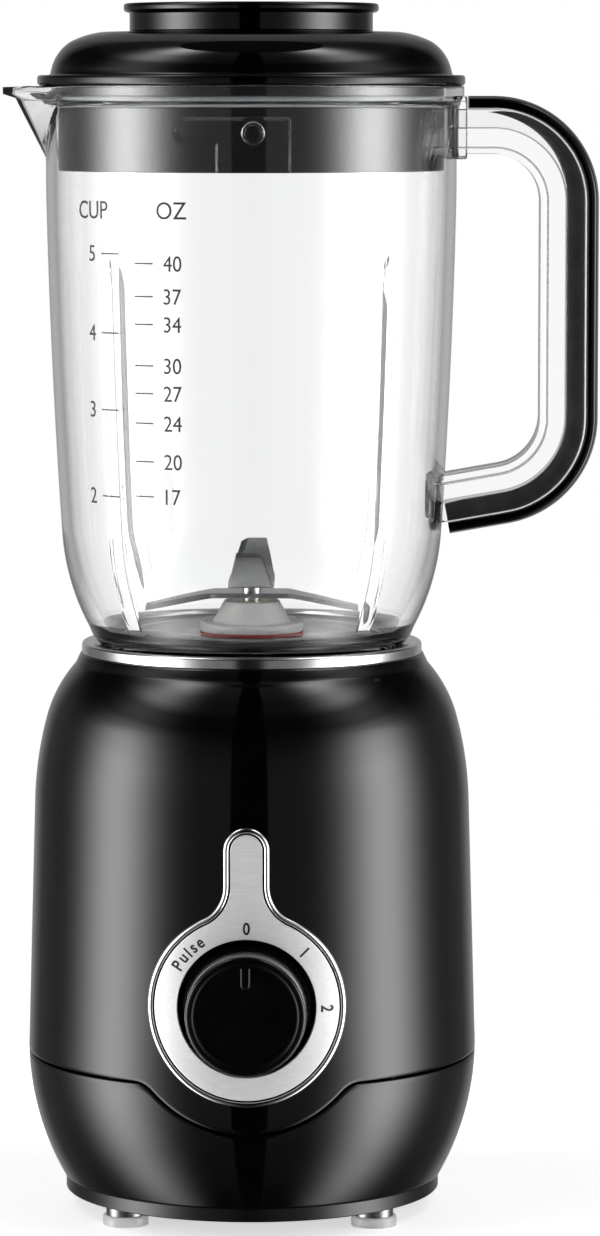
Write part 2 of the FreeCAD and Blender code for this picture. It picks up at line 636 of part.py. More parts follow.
def makeRotarySwitch():
    body = newBody("rotary_switch")
    case = newSketch(body, "XY_Plane", [box("-switchWidth / 2", "switchWidth / 2",
                                            "-switchHeight / 2", "switchHeight / 2")])
    pad(body, case, "switchDepth", reverse=True)
    neck = newSketch(body, "XY_Plane", circles=[("0", "0", "bushingRadius")])
    pad(body, neck, "recessBack")
    tabs = [box(f"{step} * tabPitch - tabWidth / 2", f"{step} * tabPitch + tabWidth / 2",
                "-tabThickness / 2", "tabThickness / 2") for step in (-1, 0, 1)]
    pad(body, newSketch(body, "XY_Plane", tabs, offset="-switchDepth"), "tabLength", reverse=True)
    bore = newSketch(body, "XY_Plane", circles=[("0", "0", "switchShaftRadius + runningGap")],
                     offset="recessBack")
    pocket(body, bore, "recessBack + switchDepth / 2 + knobGap")
    placeFacingFront(body, bossBack, "panelHeight")
    return body


# ---------------------------------------------------------------- motor

def makeMotorShaft():
    return ring("motor_shaft", "0", "motorShaftRadius", f"{fanBottom} - shaftTail",
                f"{couplerTop} - couplerGap")


def makeStatorCore():
    body = newBody("stator_core")
    x, y, corner = "statorHalfX", "statorHalfY", "statorCorner"
    outline = [
        (f"{x}", f"{y} - {corner}"),
        (f"{x} - {corner}", y, corner),
        (f"-({x} - {corner})", y),
        (f"-{x}", f"{y} - {corner}", corner),
        (f"-{x}", f"-({y} - {corner})"),
        (f"-({x} - {corner})", f"-{y}", corner),
        (f"{x} - {corner}", f"-{y}"),
        (f"{x}", f"-({y} - {corner})", corner),
    ]
    core = newSketch(body, "XY_Plane", [outline], [("0", "0", "statorBore")], offset=stackBottom)
    pad(body, core, "stackHeight")
    inner = "(coilHalfY - coilSideWidth - coilGap)"
    windows = [box(f"{side} * (coilInner - coilGap)", f"{side} * (coilInner + coilThickness + coilGap)",
                   f"{end} * {inner}", f"{end} * (coilHalfY + coilGap)")
               for side in (-1, 1) for end in (-1, 1)]
    pocket(body, newSketch(body, "XY_Plane", windows, offset=stackBottom), "stackHeight",
           reverse=True)
    bolts = [("0", f"{end} * boltOffset", "boltRadius + boltGap") for end in (-1, 1)]
    pocket(body, newSketch(body, "XY_Plane", circles=bolts, offset=stackBottom), "stackHeight",
           reverse=True)
    return body


def makeFieldCoil(label, side):
    body = newBody(label)
    outer = box("-coilHalfY", "coilHalfY", coilBottom, f"{stackTop} + coilOverhang")
    inner = box("-(coilHalfY - coilSideWidth)", "coilHalfY - coilSideWidth",
                f"{stackBottom} - coilGap", f"{stackTop} + coilGap")
    start = "coilInner" if side > 0 else "-(coilInner + coilThickness)"
    pad(body, newSketch(body, "YZ_Plane", [outer, inner], offset=start), "coilThickness")
    return body


def makeBracket(label, barBottom, legSpan, bossBottom, seatBottom, halfX, halfY):
    """A bar across the motor with a bearing boss and two legs on the stator."""
    body = newBody(label)
    bar = newSketch(body, "XY_Plane", [box(f"-{halfX}", halfX, f"-{halfY}", halfY)],
                    offset=barBottom)
    pad(body, bar, "bracketThickness")
    boss = newSketch(body, "XY_Plane", circles=[("0", "0", "bearingBossRadius")], offset=bossBottom)
    pad(body, boss, "bossHeight")
    legs = [box("-legHalf", "legHalf", f"{end} * legInner", f"{end} * legOuter") for end in (-1, 1)]
    legBottom, legTop = legSpan
    pad(body, newSketch(body, "XY_Plane", legs, offset=legBottom), f"{legTop} - {legBottom}")
    seat = newSketch(body, "XY_Plane", circles=[("0", "0", "bearingRadius")], offset=seatBottom)
    pocket(body, seat, "bearingWidth", reverse=True)
    through = newSketch(body, "XY_Plane", circles=[("0", "0", "bearingShoulder")],
                        offset=bossBottom)
    pocket(body, through, "bossHeight", reverse=True)
    bolts = [("0", f"{end} * boltOffset", "boltRadius + boltGap") for end in (-1, 1)]
    pocket(body, newSketch(body, "XY_Plane", circles=bolts), f"2 * {far}", symmetric=True)
    return body


def makeUpperBracket():
    """The bracket that hangs the motor from the deck, with a hole for each mounting screw."""
    body = makeBracket("upper_bracket", bracketBottom, (stackTop, bracketBottom),
                       f"({bracketBottom} - bossDown)", bracketBottom, "bracketHalfX",
                       "bracketHalfY")
    holes = fourPlaces("motorPostX", "motorPostY", "screwRadius")
    pocket(body, newSketch(body, "XY_Plane", circles=holes, offset=bracketBottom),
           "bracketThickness", reverse=True)
    return body


def makeBrushHolder(label, side):
    body = newBody(label)
    middle = f"({commutatorTop} - commutatorHeight / 2)"
    start = "holderInner" if side > 0 else "-holderOuter"
    outer = box("-holderHalf", "holderHalf", f"{middle} - holderHeight / 2",
                f"{middle} + holderHeight / 2")
    inner = box("-brushHalf", "brushHalf", f"{middle} - brushHeight / 2",
                f"{middle} + brushHeight / 2")
    pad(body, newSketch(body, "YZ_Plane", [outer, inner], offset=start), "holderOuter - holderInner")
    foot = box(f"{side} * (holderOuter - holderFoot)", f"{side} * holderOuter", "-holderHalf",
               "holderHalf")
    pad(body, newSketch(body, "XY_Plane", [foot], offset=lowerBarTop),
        f"{middle} - holderHeight / 2 - {lowerBarTop}")
    return body


def makeCarbonBrush(label, side):
    body = newBody(label)
    middle = f"({commutatorTop} - commutatorHeight / 2)"
    face = "(commutatorRadius + brushGap)"
    length = f"(holderOuter - {face} - brushHeight)"
    start = face if side > 0 else f"-({face} + {length})"
    block = box("-brushHalf", "brushHalf", f"{middle} - brushHeight / 2",
                f"{middle} + brushHeight / 2")
    pad(body, newSketch(body, "YZ_Plane", [block], offset=start), length)
    return body


def makeFan():
    body = newBody("cooling_fan")
    revolve(body, [
        ("motorShaftRadius", fanBottom),
        ("fanHub", fanBottom),
        ("fanHub", f"{fanTop} - fanDisc"),
        ("fanRadius", f"{fanTop} - fanDisc"),
        ("fanRadius", fanTop),
        ("motorShaftRadius", fanTop),
    ])
    blade = newSketch(body, "XY_Plane", [box("fanHub - fanBlade", "fanRadius", "-fanBlade / 2",
                                             "fanBlade / 2")], offset=fanBottom)
    first = pad(body, blade, "fanHeight - fanDisc / 2")
    polarPattern(body, [first], "fanBladeCount")
    return body


def makeMotorBolts():
    body = newBody("motor_bolts")
    shanks = [("0", f"{end} * boltOffset", "boltRadius") for end in (-1, 1)]
    pad(body, newSketch(body, "XY_Plane", circles=shanks, offset=lowerBarBottom),
        f"{bracketTop} - {lowerBarBottom}")
    heads = [("0", f"{end} * boltOffset", "screwHeadRadius") for end in (-1, 1)]
    pad(body, newSketch(body, "XY_Plane", circles=heads, offset=lowerBarBottom),
        "screwHeadHeight", reverse=True)
    return body


def makeMotorMounts():
    body = newBody("motor_mounts")
    rings = fourPlaces("motorPostX", "motorPostY", "rubberRadius") + fourPlaces(
        "motorPostX", "motorPostY", "screwRadius")
    pad(body, newSketch(body, "XY_Plane", circles=rings, offset=bracketTop), "rubberThickness")
    return body


def makeWindings():
    body = newBody("armature_windings")
    for bottom in (coilBottom, stackTop):
        turns = newSketch(body, "XY_Plane", circles=[("0", "0", "windingRadius"),
                                                     ("0", "0", "motorShaftRadius")], offset=bottom)
        pad(body, turns, "coilOverhang")
    return body


# ---------------------------------------------------------------- drive

def star(lobe, waist):
    """Six lobes: twelve corners that alternate between two radii."""
    step = 30
    return [(f"{lobe if turn % 2 == 0 else waist} * cos({turn * step})",
             f"{lobe if turn % 2 == 0 else waist} * sin({turn * step})") for turn in range(12)]


def makeDriveCoupler():
    body = ring("drive_coupler", "motorShaftRadius", "couplerHub", couplerBottom,
                f"{couplerBottom} + couplerHubHeight")
    lobes = newSketch(body, "XY_Plane", [star("couplerLobe", "couplerWaist")],
                      offset=f"{couplerBottom} + couplerHubHeight")
    pad(body, lobes, "couplerHeight")
    bore = newSketch(body, "XY_Plane", circles=[("0", "0", "motorShaftRadius")],
                     offset=couplerBottom)
    pocket(body, bore, f"{couplerTop} - couplerGap - {couplerBottom}", reverse=True)
    return body


def makeDrivenCoupler():
    roof = f"({couplerTop} + couplerGap)"
    bottom = f"({couplerBottom} + couplerHubHeight + couplerGap)"
    body = ring("driven_coupler", "bladeShaftRadius", "drivenRadius", bottom, drivenTop)
    socket = newSketch(body, "XY_Plane", [star("(couplerLobe + couplerGap)",
                                               "(couplerWaist + couplerGap)")], offset=bottom)
    pocket(body, socket, f"{roof} - {bottom}", reverse=True)
    return body


def makeShaftSeal():
    body = newBody("shaft_seal")
    inner = "(motorShaftRadius + runningGap)"
    revolve(body, [
        (inner, deckBottom),
        ("sealRadius", deckBottom),
        ("sealRadius", deckTop),
        ("sealFlange", deckTop),
        ("sealFlange", f"{deckTop} + sealFlangeHeight"),
        (inner, f"{deckTop} + sealFlangeHeight"),
    ])
    return body


def makeSeatRing():
    body = ring("jar_seat_ring", f"{jarSkirt} - skirtWall", jarSkirt, deckTop, jarFoot)
    hole = newSketch(body, "XY_Plane", circles=[("0", plungerReach, "plungerHole")],
                     offset=deckTop)
    pocket(body, hole, "seatThickness", reverse=True)
    return body


def makePlunger():
    body = newBody("interlock_plunger")
    collar = f"({deckBottom} - collarDrop)"
    revolve(body, [
        ("0", f"{deckBottom} - plungerTail"),
        ("plungerRadius", f"{deckBottom} - plungerTail"),
        ("plungerRadius", collar),
        ("plungerCollar", collar),
        ("plungerCollar", f"{collar} + collarHeight"),
        ("plungerRadius", f"{collar} + collarHeight"),
        ("plungerRadius", f"{jarFoot} - plungerGap"),
        ("0", f"{jarFoot} - plungerGap"),
    ])
    body.setExpression(".Placement.Base.y", bound(plungerReach))
    return body


def makeInterlockSwitch():
    body = newBody("interlock_switch")
    leverTop = f"({deckBottom} - plungerTail - leverGap)"
    caseTop = f"({leverTop} - leverThickness - leverGap)"
    near = f"({plungerReach} - microDepth / 2)"
    away = f"({plungerReach} + microDepth / 2)"
    case = newSketch(body, "XY_Plane", [box("-microHalf", "microHalf", near, away)],
                     offset=f"{caseTop} - microHeight")
    pad(body, case, "microHeight")
    ears = [box(f"{side} * (microHalf - microEar)", f"{side} * microHalf", near, away)
            for side in (-1, 1)]
    pad(body, newSketch(body, "XY_Plane", ears, offset=caseTop), f"{deckBottom} - {caseTop}")
    lever = newSketch(body, "XY_Plane", [box("-(microHalf - microEar)", "leverHalf",
                                             f"{near} + leverThickness", f"{away} - leverThickness")],
                      offset=f"{leverTop} - leverThickness")
    pad(body, lever, "leverThickness")
    return body


# ---------------------------------------------------------------- jar

def wedge(reach, nose, circle):
    """The spout seen from above: two tangents from the jar's circle to a round nose at -X."""
    away = f"({reach} - {nose})"
    share = f"(({circle} - {nose}) / {away})"
    side = f"(sqrt(1 - {share}^2))"
    return [
        (f"-{circle} * {share}", f"-{circle} * {side}"),
        (f"-{circle} * {share}", f"{circle} * {side}"),
        (f"-{away} - {nose} * {share}", f"{nose} * {side}"),
        (f"-{away} - {nose} * {share}", f"-{nose} * {side}", f"{nose}"),
    ]


def loft(body, kind, lower, upper):
    feature = body.newObject(kind, f"{body.Name}Loft")
    feature.Profile = lower
    feature.Sections = [upper]
    feature.Ruled = True
    return feature


def handlePath(body, rootX, endX):
    """The handle's outer line, from the jar's wall out, down and back to the wall."""
    top = f"({rimTop} - handleDrop)"
    turnTop = "(handleReach - handleTopRadius)"
    turnBottom = "(handleReach - handleBottomRadius)"
    low = f"({rimTop} - handleBottomDrop)"
    backX = f"({turnBottom} + handleBottomRadius * cos(handleSweep))"
    backZ = f"({low} - handleBottomRadius * sin(handleSweep))"
    return newSketch(body, "XZ_Plane", [[
        (rootX, top),
        (turnTop, top),
        ("handleReach", f"{top} - handleTopRadius", "-handleTopRadius"),
        ("handleReach", low),
        (backX, backZ, "-handleBottomRadius"),
        (endX, f"{backZ} - ({backX} - ({endX})) / tan(handleSweep)"),
    ]], closed=False)


def sweepHandle(body, kind, rootX, endX, near, away, half):
    """A bar along the handle's outer line, from the depth near to the depth away."""
    path = handlePath(body, rootX, endX)
    top = f"({rimTop} - handleDrop)"
    section = newSketch(body, "YZ_Plane", [box(f"-{half}", half, f"{top} - ({away})",
                                               f"{top} - ({near})")], offset=rootX)
    feature = body.newObject(kind, f"{body.Name}Sweep")
    feature.Profile = section
    feature.Spine = (path, [])
    return feature


def jarOutside():
    """The outside of the jar from the foot of its skirt to its rim."""
    band = f"({rimTop} - rimBand)"
    return [
        (jarSkirt, jarFoot),
        (jarSkirt, f"{jarFoot} + heelHeight - skirtStep"),
        (f"{jarSkirt} + heelInset", f"{jarFoot} + heelHeight"),
        (jarCalf, f"{jarFoot} + calfHeight", "heelBulge"),
        ("jarWaist", f"{jarFoot} + waistHeight", "waistBulge"),
        ("jarRadius", f"{jarFoot} + jarShoulder", "upperBulge"),
        ("jarRadius", f"{band} - rimSlope"),
        (rimRadiusJar, band),
        (rimRadiusJar, rimTop),
    ]


def makeJar():
    body = newBody("jar")
    shoulder = f"({jarFoot} + jarShoulder)"
    waist = f"({jarFoot} + waistHeight)"
    calf = f"({jarFoot} + calfHeight)"
    revolve(body, [(f"{jarSkirt} - skirtWall", jarFoot)] + jarOutside() + [
        (jarInner, rimTop),
        (jarInner, shoulder),
        ("jarWaist - jarWall", waist, "-(upperBulge - jarWall)"),
        (f"{jarCalf} - jarWall", f"{calf} + jarWall", "-(waistBulge - jarWall)"),
        (f"{jarCalf} - jarWall - innerHeelInset", floorTop, "-innerHeel"),
        ("hubHole", floorTop),
        ("hubHole", floorBottom),
        (f"{jarSkirt} - skirtWall", floorBottom),
    ])
    # spout: a lip at the rim and a wedge under it, then both hollowed
    lipBottom = f"({rimTop} - spoutLip)"
    spoutEnd = f"({rimTop} - spoutDepth)"
    lip = newSketch(body, "XY_Plane", [wedge("spoutReach", "spoutNose", rimRadiusJar)],
                    offset=lipBottom)
    pad(body, lip, "spoutLip")
    reach = "(spoutReach - spoutLipStep)"
    loft(body, "PartDesign::AdditiveLoft",
         newSketch(body, "XY_Plane", [wedge("(jarRadius - jarWall / 2)", "spoutNose",
                                            "(jarRadius - jarWall * 3 / 4)")], offset=spoutEnd),
         newSketch(body, "XY_Plane", [wedge(reach, "spoutNose", "jarRadius")], offset=lipBottom))
    hollow = newSketch(body, "XY_Plane", circles=[("0", "0", jarInner)], offset=spoutEnd)
    pocket(body, hollow, f"{rimTop} - {spoutEnd}", reverse=True)
    innerReach = f"({reach} - spoutWall)"
    innerNose = "(spoutNose - spoutWall)"
    loft(body, "PartDesign::SubtractiveLoft",
         newSketch(body, "XY_Plane", [wedge("(jarRadius - jarWall - spoutWall)", innerNose,
                                            "(jarRadius - jarWall - 2 * spoutWall)")],
                   offset=spoutEnd),
         newSketch(body, "XY_Plane", [wedge(innerReach, innerNose, jarInner)], offset=rimTop))
    # nubs for the lid's slots, front and back
    nub = newSketch(body, "XZ_Plane", circles=[("nubOffset", nubHeight, "nubRadius")],
                    offset=f"{jarInner} - nubReach")
    first = pad(body, nub, "nubReach + jarWall / 2")
    polarPattern(body, [first], "2")
    # ribs inside the wall
    inside = f"({jarCalf} - jarWall)"
    rib = newSketch(body, "XZ_Plane", [[
        (f"{inside} - ribDepth", f"{calf} + innerHeel"),
        (inside, f"{calf} + innerHeel"),
        ("jarWaist - jarWall / 2", waist),
        (f"{jarInner} + jarWall / 2", shoulder),
        (f"{jarInner} - ribTip", f"{jarFoot} + ribTop"),
        ("jarWaist - jarWall - ribDepth", waist),
    ]])
    rib.AttachmentOffset = FreeCAD.Placement(FreeCAD.Vector(), FreeCAD.Rotation(
        FreeCAD.Vector(0, 1, 0), ribTurn))
    slab = pad(body, rib, "ribWidth", symmetric=True)
    polarPattern(body, [slab], "ribCount")
    return body


def makeJarHandle():
    """The clear bar that the cover lies in, with the plate that joins it to the jar's rim."""
    body = newBody("jar_handle")
    sweepHandle(body, "PartDesign::AdditivePipe", handleRoot, handleEnd, "coverDepth",
                "handleDepth", "handleHalf")
    top = f"({rimTop} - handleDrop)"
    plate = newSketch(body, "YZ_Plane", [box("-bossHalf", "bossHalf",
                                             f"{top} - handleDepth - bossMargin", top)],
                      offset=handleRoot)
    pad(body, plate, "rootSink + bossPlate")
    sweepHandle(body, "PartDesign::SubtractivePipe", f"{tongueRoot} - channelGap",
                f"{coverEnd} - bossPlate", "coverDepth - channelGap",
                "tongueDepth + channelGap", "(tongueHalf + channelGap)")
    # the jar's own space comes away, so that the handle lies on its outside
    inside = body.newObject("PartDesign::Groove", "jar_handleGroove")
    inside.Profile = newSketch(body, "XZ_Plane", [[("0", jarFoot)] + jarOutside() + [("0", rimTop)]])
    inside.ReferenceAxis = (inside.Profile[0], ["V_Axis"])
    inside.Angle = 360
    return body


def makeHandleCover():
    body = newBody("handle_cover")
    sweepHandle(body, "PartDesign::AdditivePipe", coverRoot, coverEnd, "0", "coverDepth",
                "handleHalf")
    sweepHandle(body, "PartDesign::AdditivePipe", tongueRoot, coverEnd, "coverDepth",
                "tongueDepth", "tongueHalf")
    return body


# ---------------------------------------------------------------- blade set and its bearing

def makeBladeHub():
    body = newBody("blade_hub")
    gasketTop = f"({floorTop} + gasketHeight)"
    flangeTop = f"({gasketTop} + hubFlangeHeight)"
    revolve(body, [
        ("bushRadius", f"{floorBottom} - nutHeight"),
        ("hubShank", f"{floorBottom} - nutHeight"),
        ("hubShank", gasketTop),
        ("hubFlange", gasketTop),
        ("hubFlange", flangeTop),
        ("hubNeck", flangeTop),
        ("hubTip", f"{flangeTop} + hubNeckHeight"),
        ("bushRadius", f"{flangeTop} + hubNeckHeight"),
    ])
    return body


def makeHubNut():
    body = newBody("hub_nut")
    hexagon = [(f"nutRadius * cos({turn * 60})", f"nutRadius * sin({turn * 60})")
               for turn in range(6)]
    nut = newSketch(body, "XY_Plane", [hexagon], [("0", "0", "hubShank")],
                    offset=f"{floorBottom} - nutHeight")
    pad(body, nut, "nutHeight")
    return body


def makeBlade(label, seat, reach, angle, turned):
    """A bar bent at both ends, with tapered tips, on the blade shaft."""
    body = newBody(label)
    lift = f"(({reach} - bladeFlat) * tan({angle}))"
    top = f"({seat} + bladeThickness)"
    strip = newSketch(body, "XZ_Plane", [[
        ("-bladeFlat", seat),
        ("bladeFlat", seat),
        (reach, f"{seat} + {lift}"),
        (reach, f"{top} + {lift}"),
        ("bladeFlat", top),
        ("-bladeFlat", top),
        (f"-{reach}", f"{top} + {lift}"),
        (f"-{reach}", f"{seat} + {lift}"),
    ]])
    pad(body, strip, "2 * bladeHalfWidth", symmetric=True)
    tapers = []
    for sx in (-1, 1):
        for sy in (-1, 1):
            tapers.append([
                (f"{sx} * bladeFlat", f"{sy} * bladeHalfWidth"),
                (f"{sx} * ({reach} + bladeThickness)", f"{sy} * bladeTipHalf"),
                (f"{sx} * ({reach} + bladeThickness)", f"{sy} * bladeHalfWidth"),
            ])
    pocket(body, newSketch(body, "XY_Plane", tapers, offset=floorTop), "jarRadius", reverse=True)
    if not turned:
        # a raised boss that the upper blade stands on
        boss = newSketch(body, "XY_Plane", circles=[("0", "0", "capNutRadius")], offset=seat)
        pad(body, boss, f"{upperBladeSeat} - {seat}")
    bore = newSketch(body, "XY_Plane", circles=[("0", "0", "bladeShaftRadius")], offset=floorTop)
    pocket(body, bore, "jarRadius", reverse=True)
    if turned:
        body.Placement = FreeCAD.Placement(FreeCAD.Vector(), FreeCAD.Rotation(
            FreeCAD.Vector(0, 0, 1), bladeTurn))
    return body


def makeBladeNut():
    body = newBody("blade_nut")
    bottom = f"({upperBladeSeat} + bladeThickness)"
    hexagon = [(f"capNutRadius * cos({turn * 60})", f"capNutRadius * sin({turn * 60})")
               for turn in range(6)]
    nut = newSketch(body, "XY_Plane", [hexagon], offset=bottom)
    pad(body, nut, "capNutHeight")
    dome = newSketch(body, "XY_Plane", circles=[("0", "0", "capNutDomeRadius")],
                     offset=f"{bottom} + capNutHeight")
    pad(body, dome, "capNutDome")
    thread = newSketch(body, "XY_Plane", circles=[("0", "0", "bladeShaftRadius")], offset=bottom)
    pocket(body, thread, "capNutHeight", reverse=True)
    return body


# ---------------------------------------------------------------- lid and measuring cap

lidSkirt = f"({jarInner} - lidSkirtGap)"
lidSkirtInner = f"({lidSkirt} - lidSkirtWall)"
groove = f"({lidSkirt} - gasketGroove)"


def makeLid():
    body = newBody("lid")
    flangeTop = f"({rimTop} + lidFlange)"
    crownHeight = f"({lidTop} - crownDrop)"
    revolve(body, [
        ("capHole", f"{lidTop} - capCollarDepth"),
        ("capHole + capCollar", f"{lidTop} - capCollarDepth"),
        ("capHole + capCollar", f"{lidTop} - lidWall"),
        ("crownFlat", f"{lidTop} - lidWall"),
        ("crownRadius - lidWall / 2", f"{crownHeight} - lidWall", "-(crownBulge - lidWall)"),
        ("domeRadius - lidWall", f"{flangeTop} + lidEdge", "-(domeBulge - lidWall)"),
        (lidSkirtInner, rimTop),
        (lidSkirtInner, f"{rimTop} - lidSkirt"),
        (lidSkirt, f"{rimTop} - lidSkirt"),
        (lidSkirt, f"{rimTop} - gasketTop - gasketBand"),
        (groove, f"{rimTop} - gasketTop - gasketBand"),
        (groove, f"{rimTop} - gasketTop"),
        (lidSkirt, f"{rimTop} - gasketTop"),
        (lidSkirt, rimTop),
        ("lidRadius - lidEdge", rimTop),
        ("lidRadius", f"{rimTop} + lidEdge"),
        ("lidRadius", f"{flangeTop} - lidEdge"),
        ("lidRadius - lidEdge", flangeTop, "lidEdge"),
        ("domeRadius", flangeTop),
        ("domeRadius", f"{flangeTop} + lidEdge"),
        ("crownRadius", crownHeight, "domeBulge"),
        ("crownFlat", lidTop, "crownBulge"),
        ("capHole", lidTop),
    ])
    # slots in the skirt for the jar's nubs, front and back
    bottom = f"({rimTop} - lidSkirt)"
    slotTop = f"({rimTop} - slotTop)"
    slotMiddle = f"({slotTop} - slotHeight / 2)"
    channel = newSketch(body, "XZ_Plane", [box("-channelLeft", "channelRight",
                                               f"{bottom} - lidWall", slotTop)],
                        offset=f"{lidSkirtInner} / 2")
    openings = [pocket(body, channel, far, reverse=True)]
    slot = newSketch(body, "XZ_Plane", [[
        ("-channelLeft + lidWall", slotTop),
        ("-slotLeft", slotTop),
        ("-slotLeft - slotHeight / 2", slotMiddle, "slotHeight / 2"),
        ("-slotLeft", f"{slotTop} - slotHeight", "slotHeight / 2"),
        ("-channelLeft + lidWall", f"{slotTop} - slotHeight"),
    ]], offset=f"{lidSkirtInner} / 2")
    openings.append(pocket(body, slot, far, reverse=True))
    polarPattern(body, openings, "2")
    # the slots keep a floor, so the skirt stays closed behind them
    revolve(body, [
        (lidSkirtInner, f"{rimTop} - lidSkirt"),
        (f"{lidSkirtInner} + slotFloor", f"{rimTop} - lidSkirt"),
        (f"{lidSkirtInner} + slotFloor", rimTop),
        (lidSkirtInner, rimTop),
    ])
    return body


def makeCap():
    body = newBody("measuring_cap")
    neckTop = f"({lidTop} + capNeckHeight)"
    cup = "(capHole - capPlay)"
    foot = f"({lidTop} - capDepth)"
    revolve(body, [
        (f"{cup} - capTaper - capWall", foot),
        (f"{cup} - capTaper", foot),
        (cup, lidTop),
        ("capNeckRadius", lidTop),
        ("capNeckRadius", neckTop),
        ("capRadius - capEdge", neckTop),
        ("capRadius", f"{neckTop} + capEdge"),
        ("capRadius", f"{capTop} - capEdge"),
        ("capRadius - capEdge", capTop, "capEdge"),
        ("0", capTop),
        ("0", f"{capTop} - capTopWall"),
        (f"{cup} - capWall", f"{capTop} - capTopWall"),
    ])
    return body


# ---------------------------------------------------------------- list of sub-parts

def makeNodes():
    nodes = [makeUpperHousing(), makeLowerHousing(), makeTrimRing(), makeBottomPlate()]
    feet = [(1, -1, -1), (2, 1, -1), (3, 1, 1), (4, -1, 1)]
    for number, signX, signY in feet:
        nodes.extend(makeFoot(number, signX, signY))
    nodes.append(makeScrews("housing_screws", postReach, "postSpread", "plateBottom",
                            "screwLength"))
    nodes.append(makeCordGland())
    nodes.append(makePanelPiece("panel_bezel", "bezelRise",
                                [keyholeOutline("0"), keyholeOutline("bezelWidth")]))
    nodes.append(makePanelPiece("panel_plate", "plateRise",
                                [keyholeOutline("(bezelWidth + panelGroove)")],
                                [("0", "panelHeight", "knobHole")]))
    nodes.extend([makeKnob(), makeSwitchShaft(), makeRotarySwitch()])
    # motor
    nodes.append(makeMotorShaft())
    nodes.append(makeStatorCore())
    nodes.append(makeFieldCoil("field_coil_left", -1))
    nodes.append(makeFieldCoil("field_coil_right", 1))
    nodes.append(makeUpperBracket())
    lowerSeat = f"({lowerBarBottom} - bearingStep)"
    nodes.append(makeBracket("lower_bracket", lowerBarBottom, (lowerBarTop, stackBottom),
                             lowerBossBottom, lowerSeat, "crossHalf",
                             "legOuter + bracketThickness"))
    for label, bottom in (("upper_bearing", bracketBottom), ("lower_bearing", lowerSeat)):
        nodes.append(ring(label, "motorShaftRadius + runningGap", "bearingRadius", bottom,
                          f"{bottom} + bearingWidth"))
    for label, side in (("left", -1), ("right", 1)):
        nodes.append(makeBrushHolder(f"brush_holder_{label}", side))
        nodes.append(makeCarbonBrush(f"carbon_brush_{label}", side))
    nodes.extend([makeMotorBolts(), makeMotorMounts()])
    nodes.append(makeScrews("motor_screws", "motorPostX", "motorPostY", bracketBottom,
                            "screwLength"))
    nodes.append(ring("armature_core", "motorShaftRadius", "statorBore - airGap", stackBottom,
                      stackTop))
    nodes.append(makeWindings())
    nodes.append(ring("commutator", "motorShaftRadius", "commutatorRadius",
                      f"{commutatorTop} - commutatorHeight", commutatorTop))
    nodes.append(makeFan())
    nodes.append(ring("fan_shroud", "shroudRadius", "shroudRadius + shroudWall", plateTop,
                      f"{lowerBarBottom} - fanShroudGap"))
    # drive and interlock
    nodes.extend([makeDriveCoupler(), makeShaftSeal(), makeSeatRing(), makePlunger(),
                  makeInterlockSwitch()])
    # jar
    nodes.extend([makeJar(), makeJarHandle(), makeHandleCover(), makeBladeHub(),
                  makeHubNut()])
    nodes.append(ring("blade_gasket", "hubShank", "hubFlange", floorTop,
                      f"{floorTop} + gasketHeight"))
    hubTop = f"({floorTop} + gasketHeight + hubFlangeHeight + hubNeckHeight)"
    bushes = [("lower_bush", f"({floorBottom} - nutHeight)"),
              ("upper_bush", f"({hubTop} - bushLength)")]
    for label, bottom in bushes:
        nodes.append(ring(label, "bladeShaftRadius + runningGap", "bushRadius", bottom,
                          f"{bottom} + bushLength"))
    # blades
    nodes.append(ring("blade_shaft", "0", "bladeShaftRadius", f"{couplerTop} + couplerGap",
                      f"{upperBladeSeat} + bladeThickness + capNutHeight"))
    nodes.append(makeDrivenCoupler())
    nodes.append(makeBlade("lower_blade", bladeSeat, "lowerReach", "-lowerAngle", False))
    nodes.append(makeBlade("upper_blade", upperBladeSeat, "upperReach", "upperAngle", True))
    nodes.append(makeBladeNut())
    # lid and cap
    nodes.append(makeLid())
    nodes.append(ring("lid_gasket", groove, f"{lidSkirt} + gasketReach",
                      f"{rimTop} - gasketTop - gasketBand", f"{rimTop} - gasketTop"))
    nodes.append(makeCap())
    return nodes


nodes = makeNodes()
doc.recompute()
for item in doc.Objects:
    if "Invalid" in item.State or "Error" in item.State:
        raise RuntimeError(f"{item.Label} failed: {item.State}")
for node in nodes:
    if node.Shape.isNull() or not node.Shape.isValid():
        raise RuntimeError(f"{node.Label} has no valid shape")
os.makedirs("parts", exist_ok=True)
for node in nodes:
    node.Shape.exportStep(f"parts/{node.Label}.step")
    print(node.Label, len(node.Shape.Solids), round(node.Shape.Volume, 1))
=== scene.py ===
import math

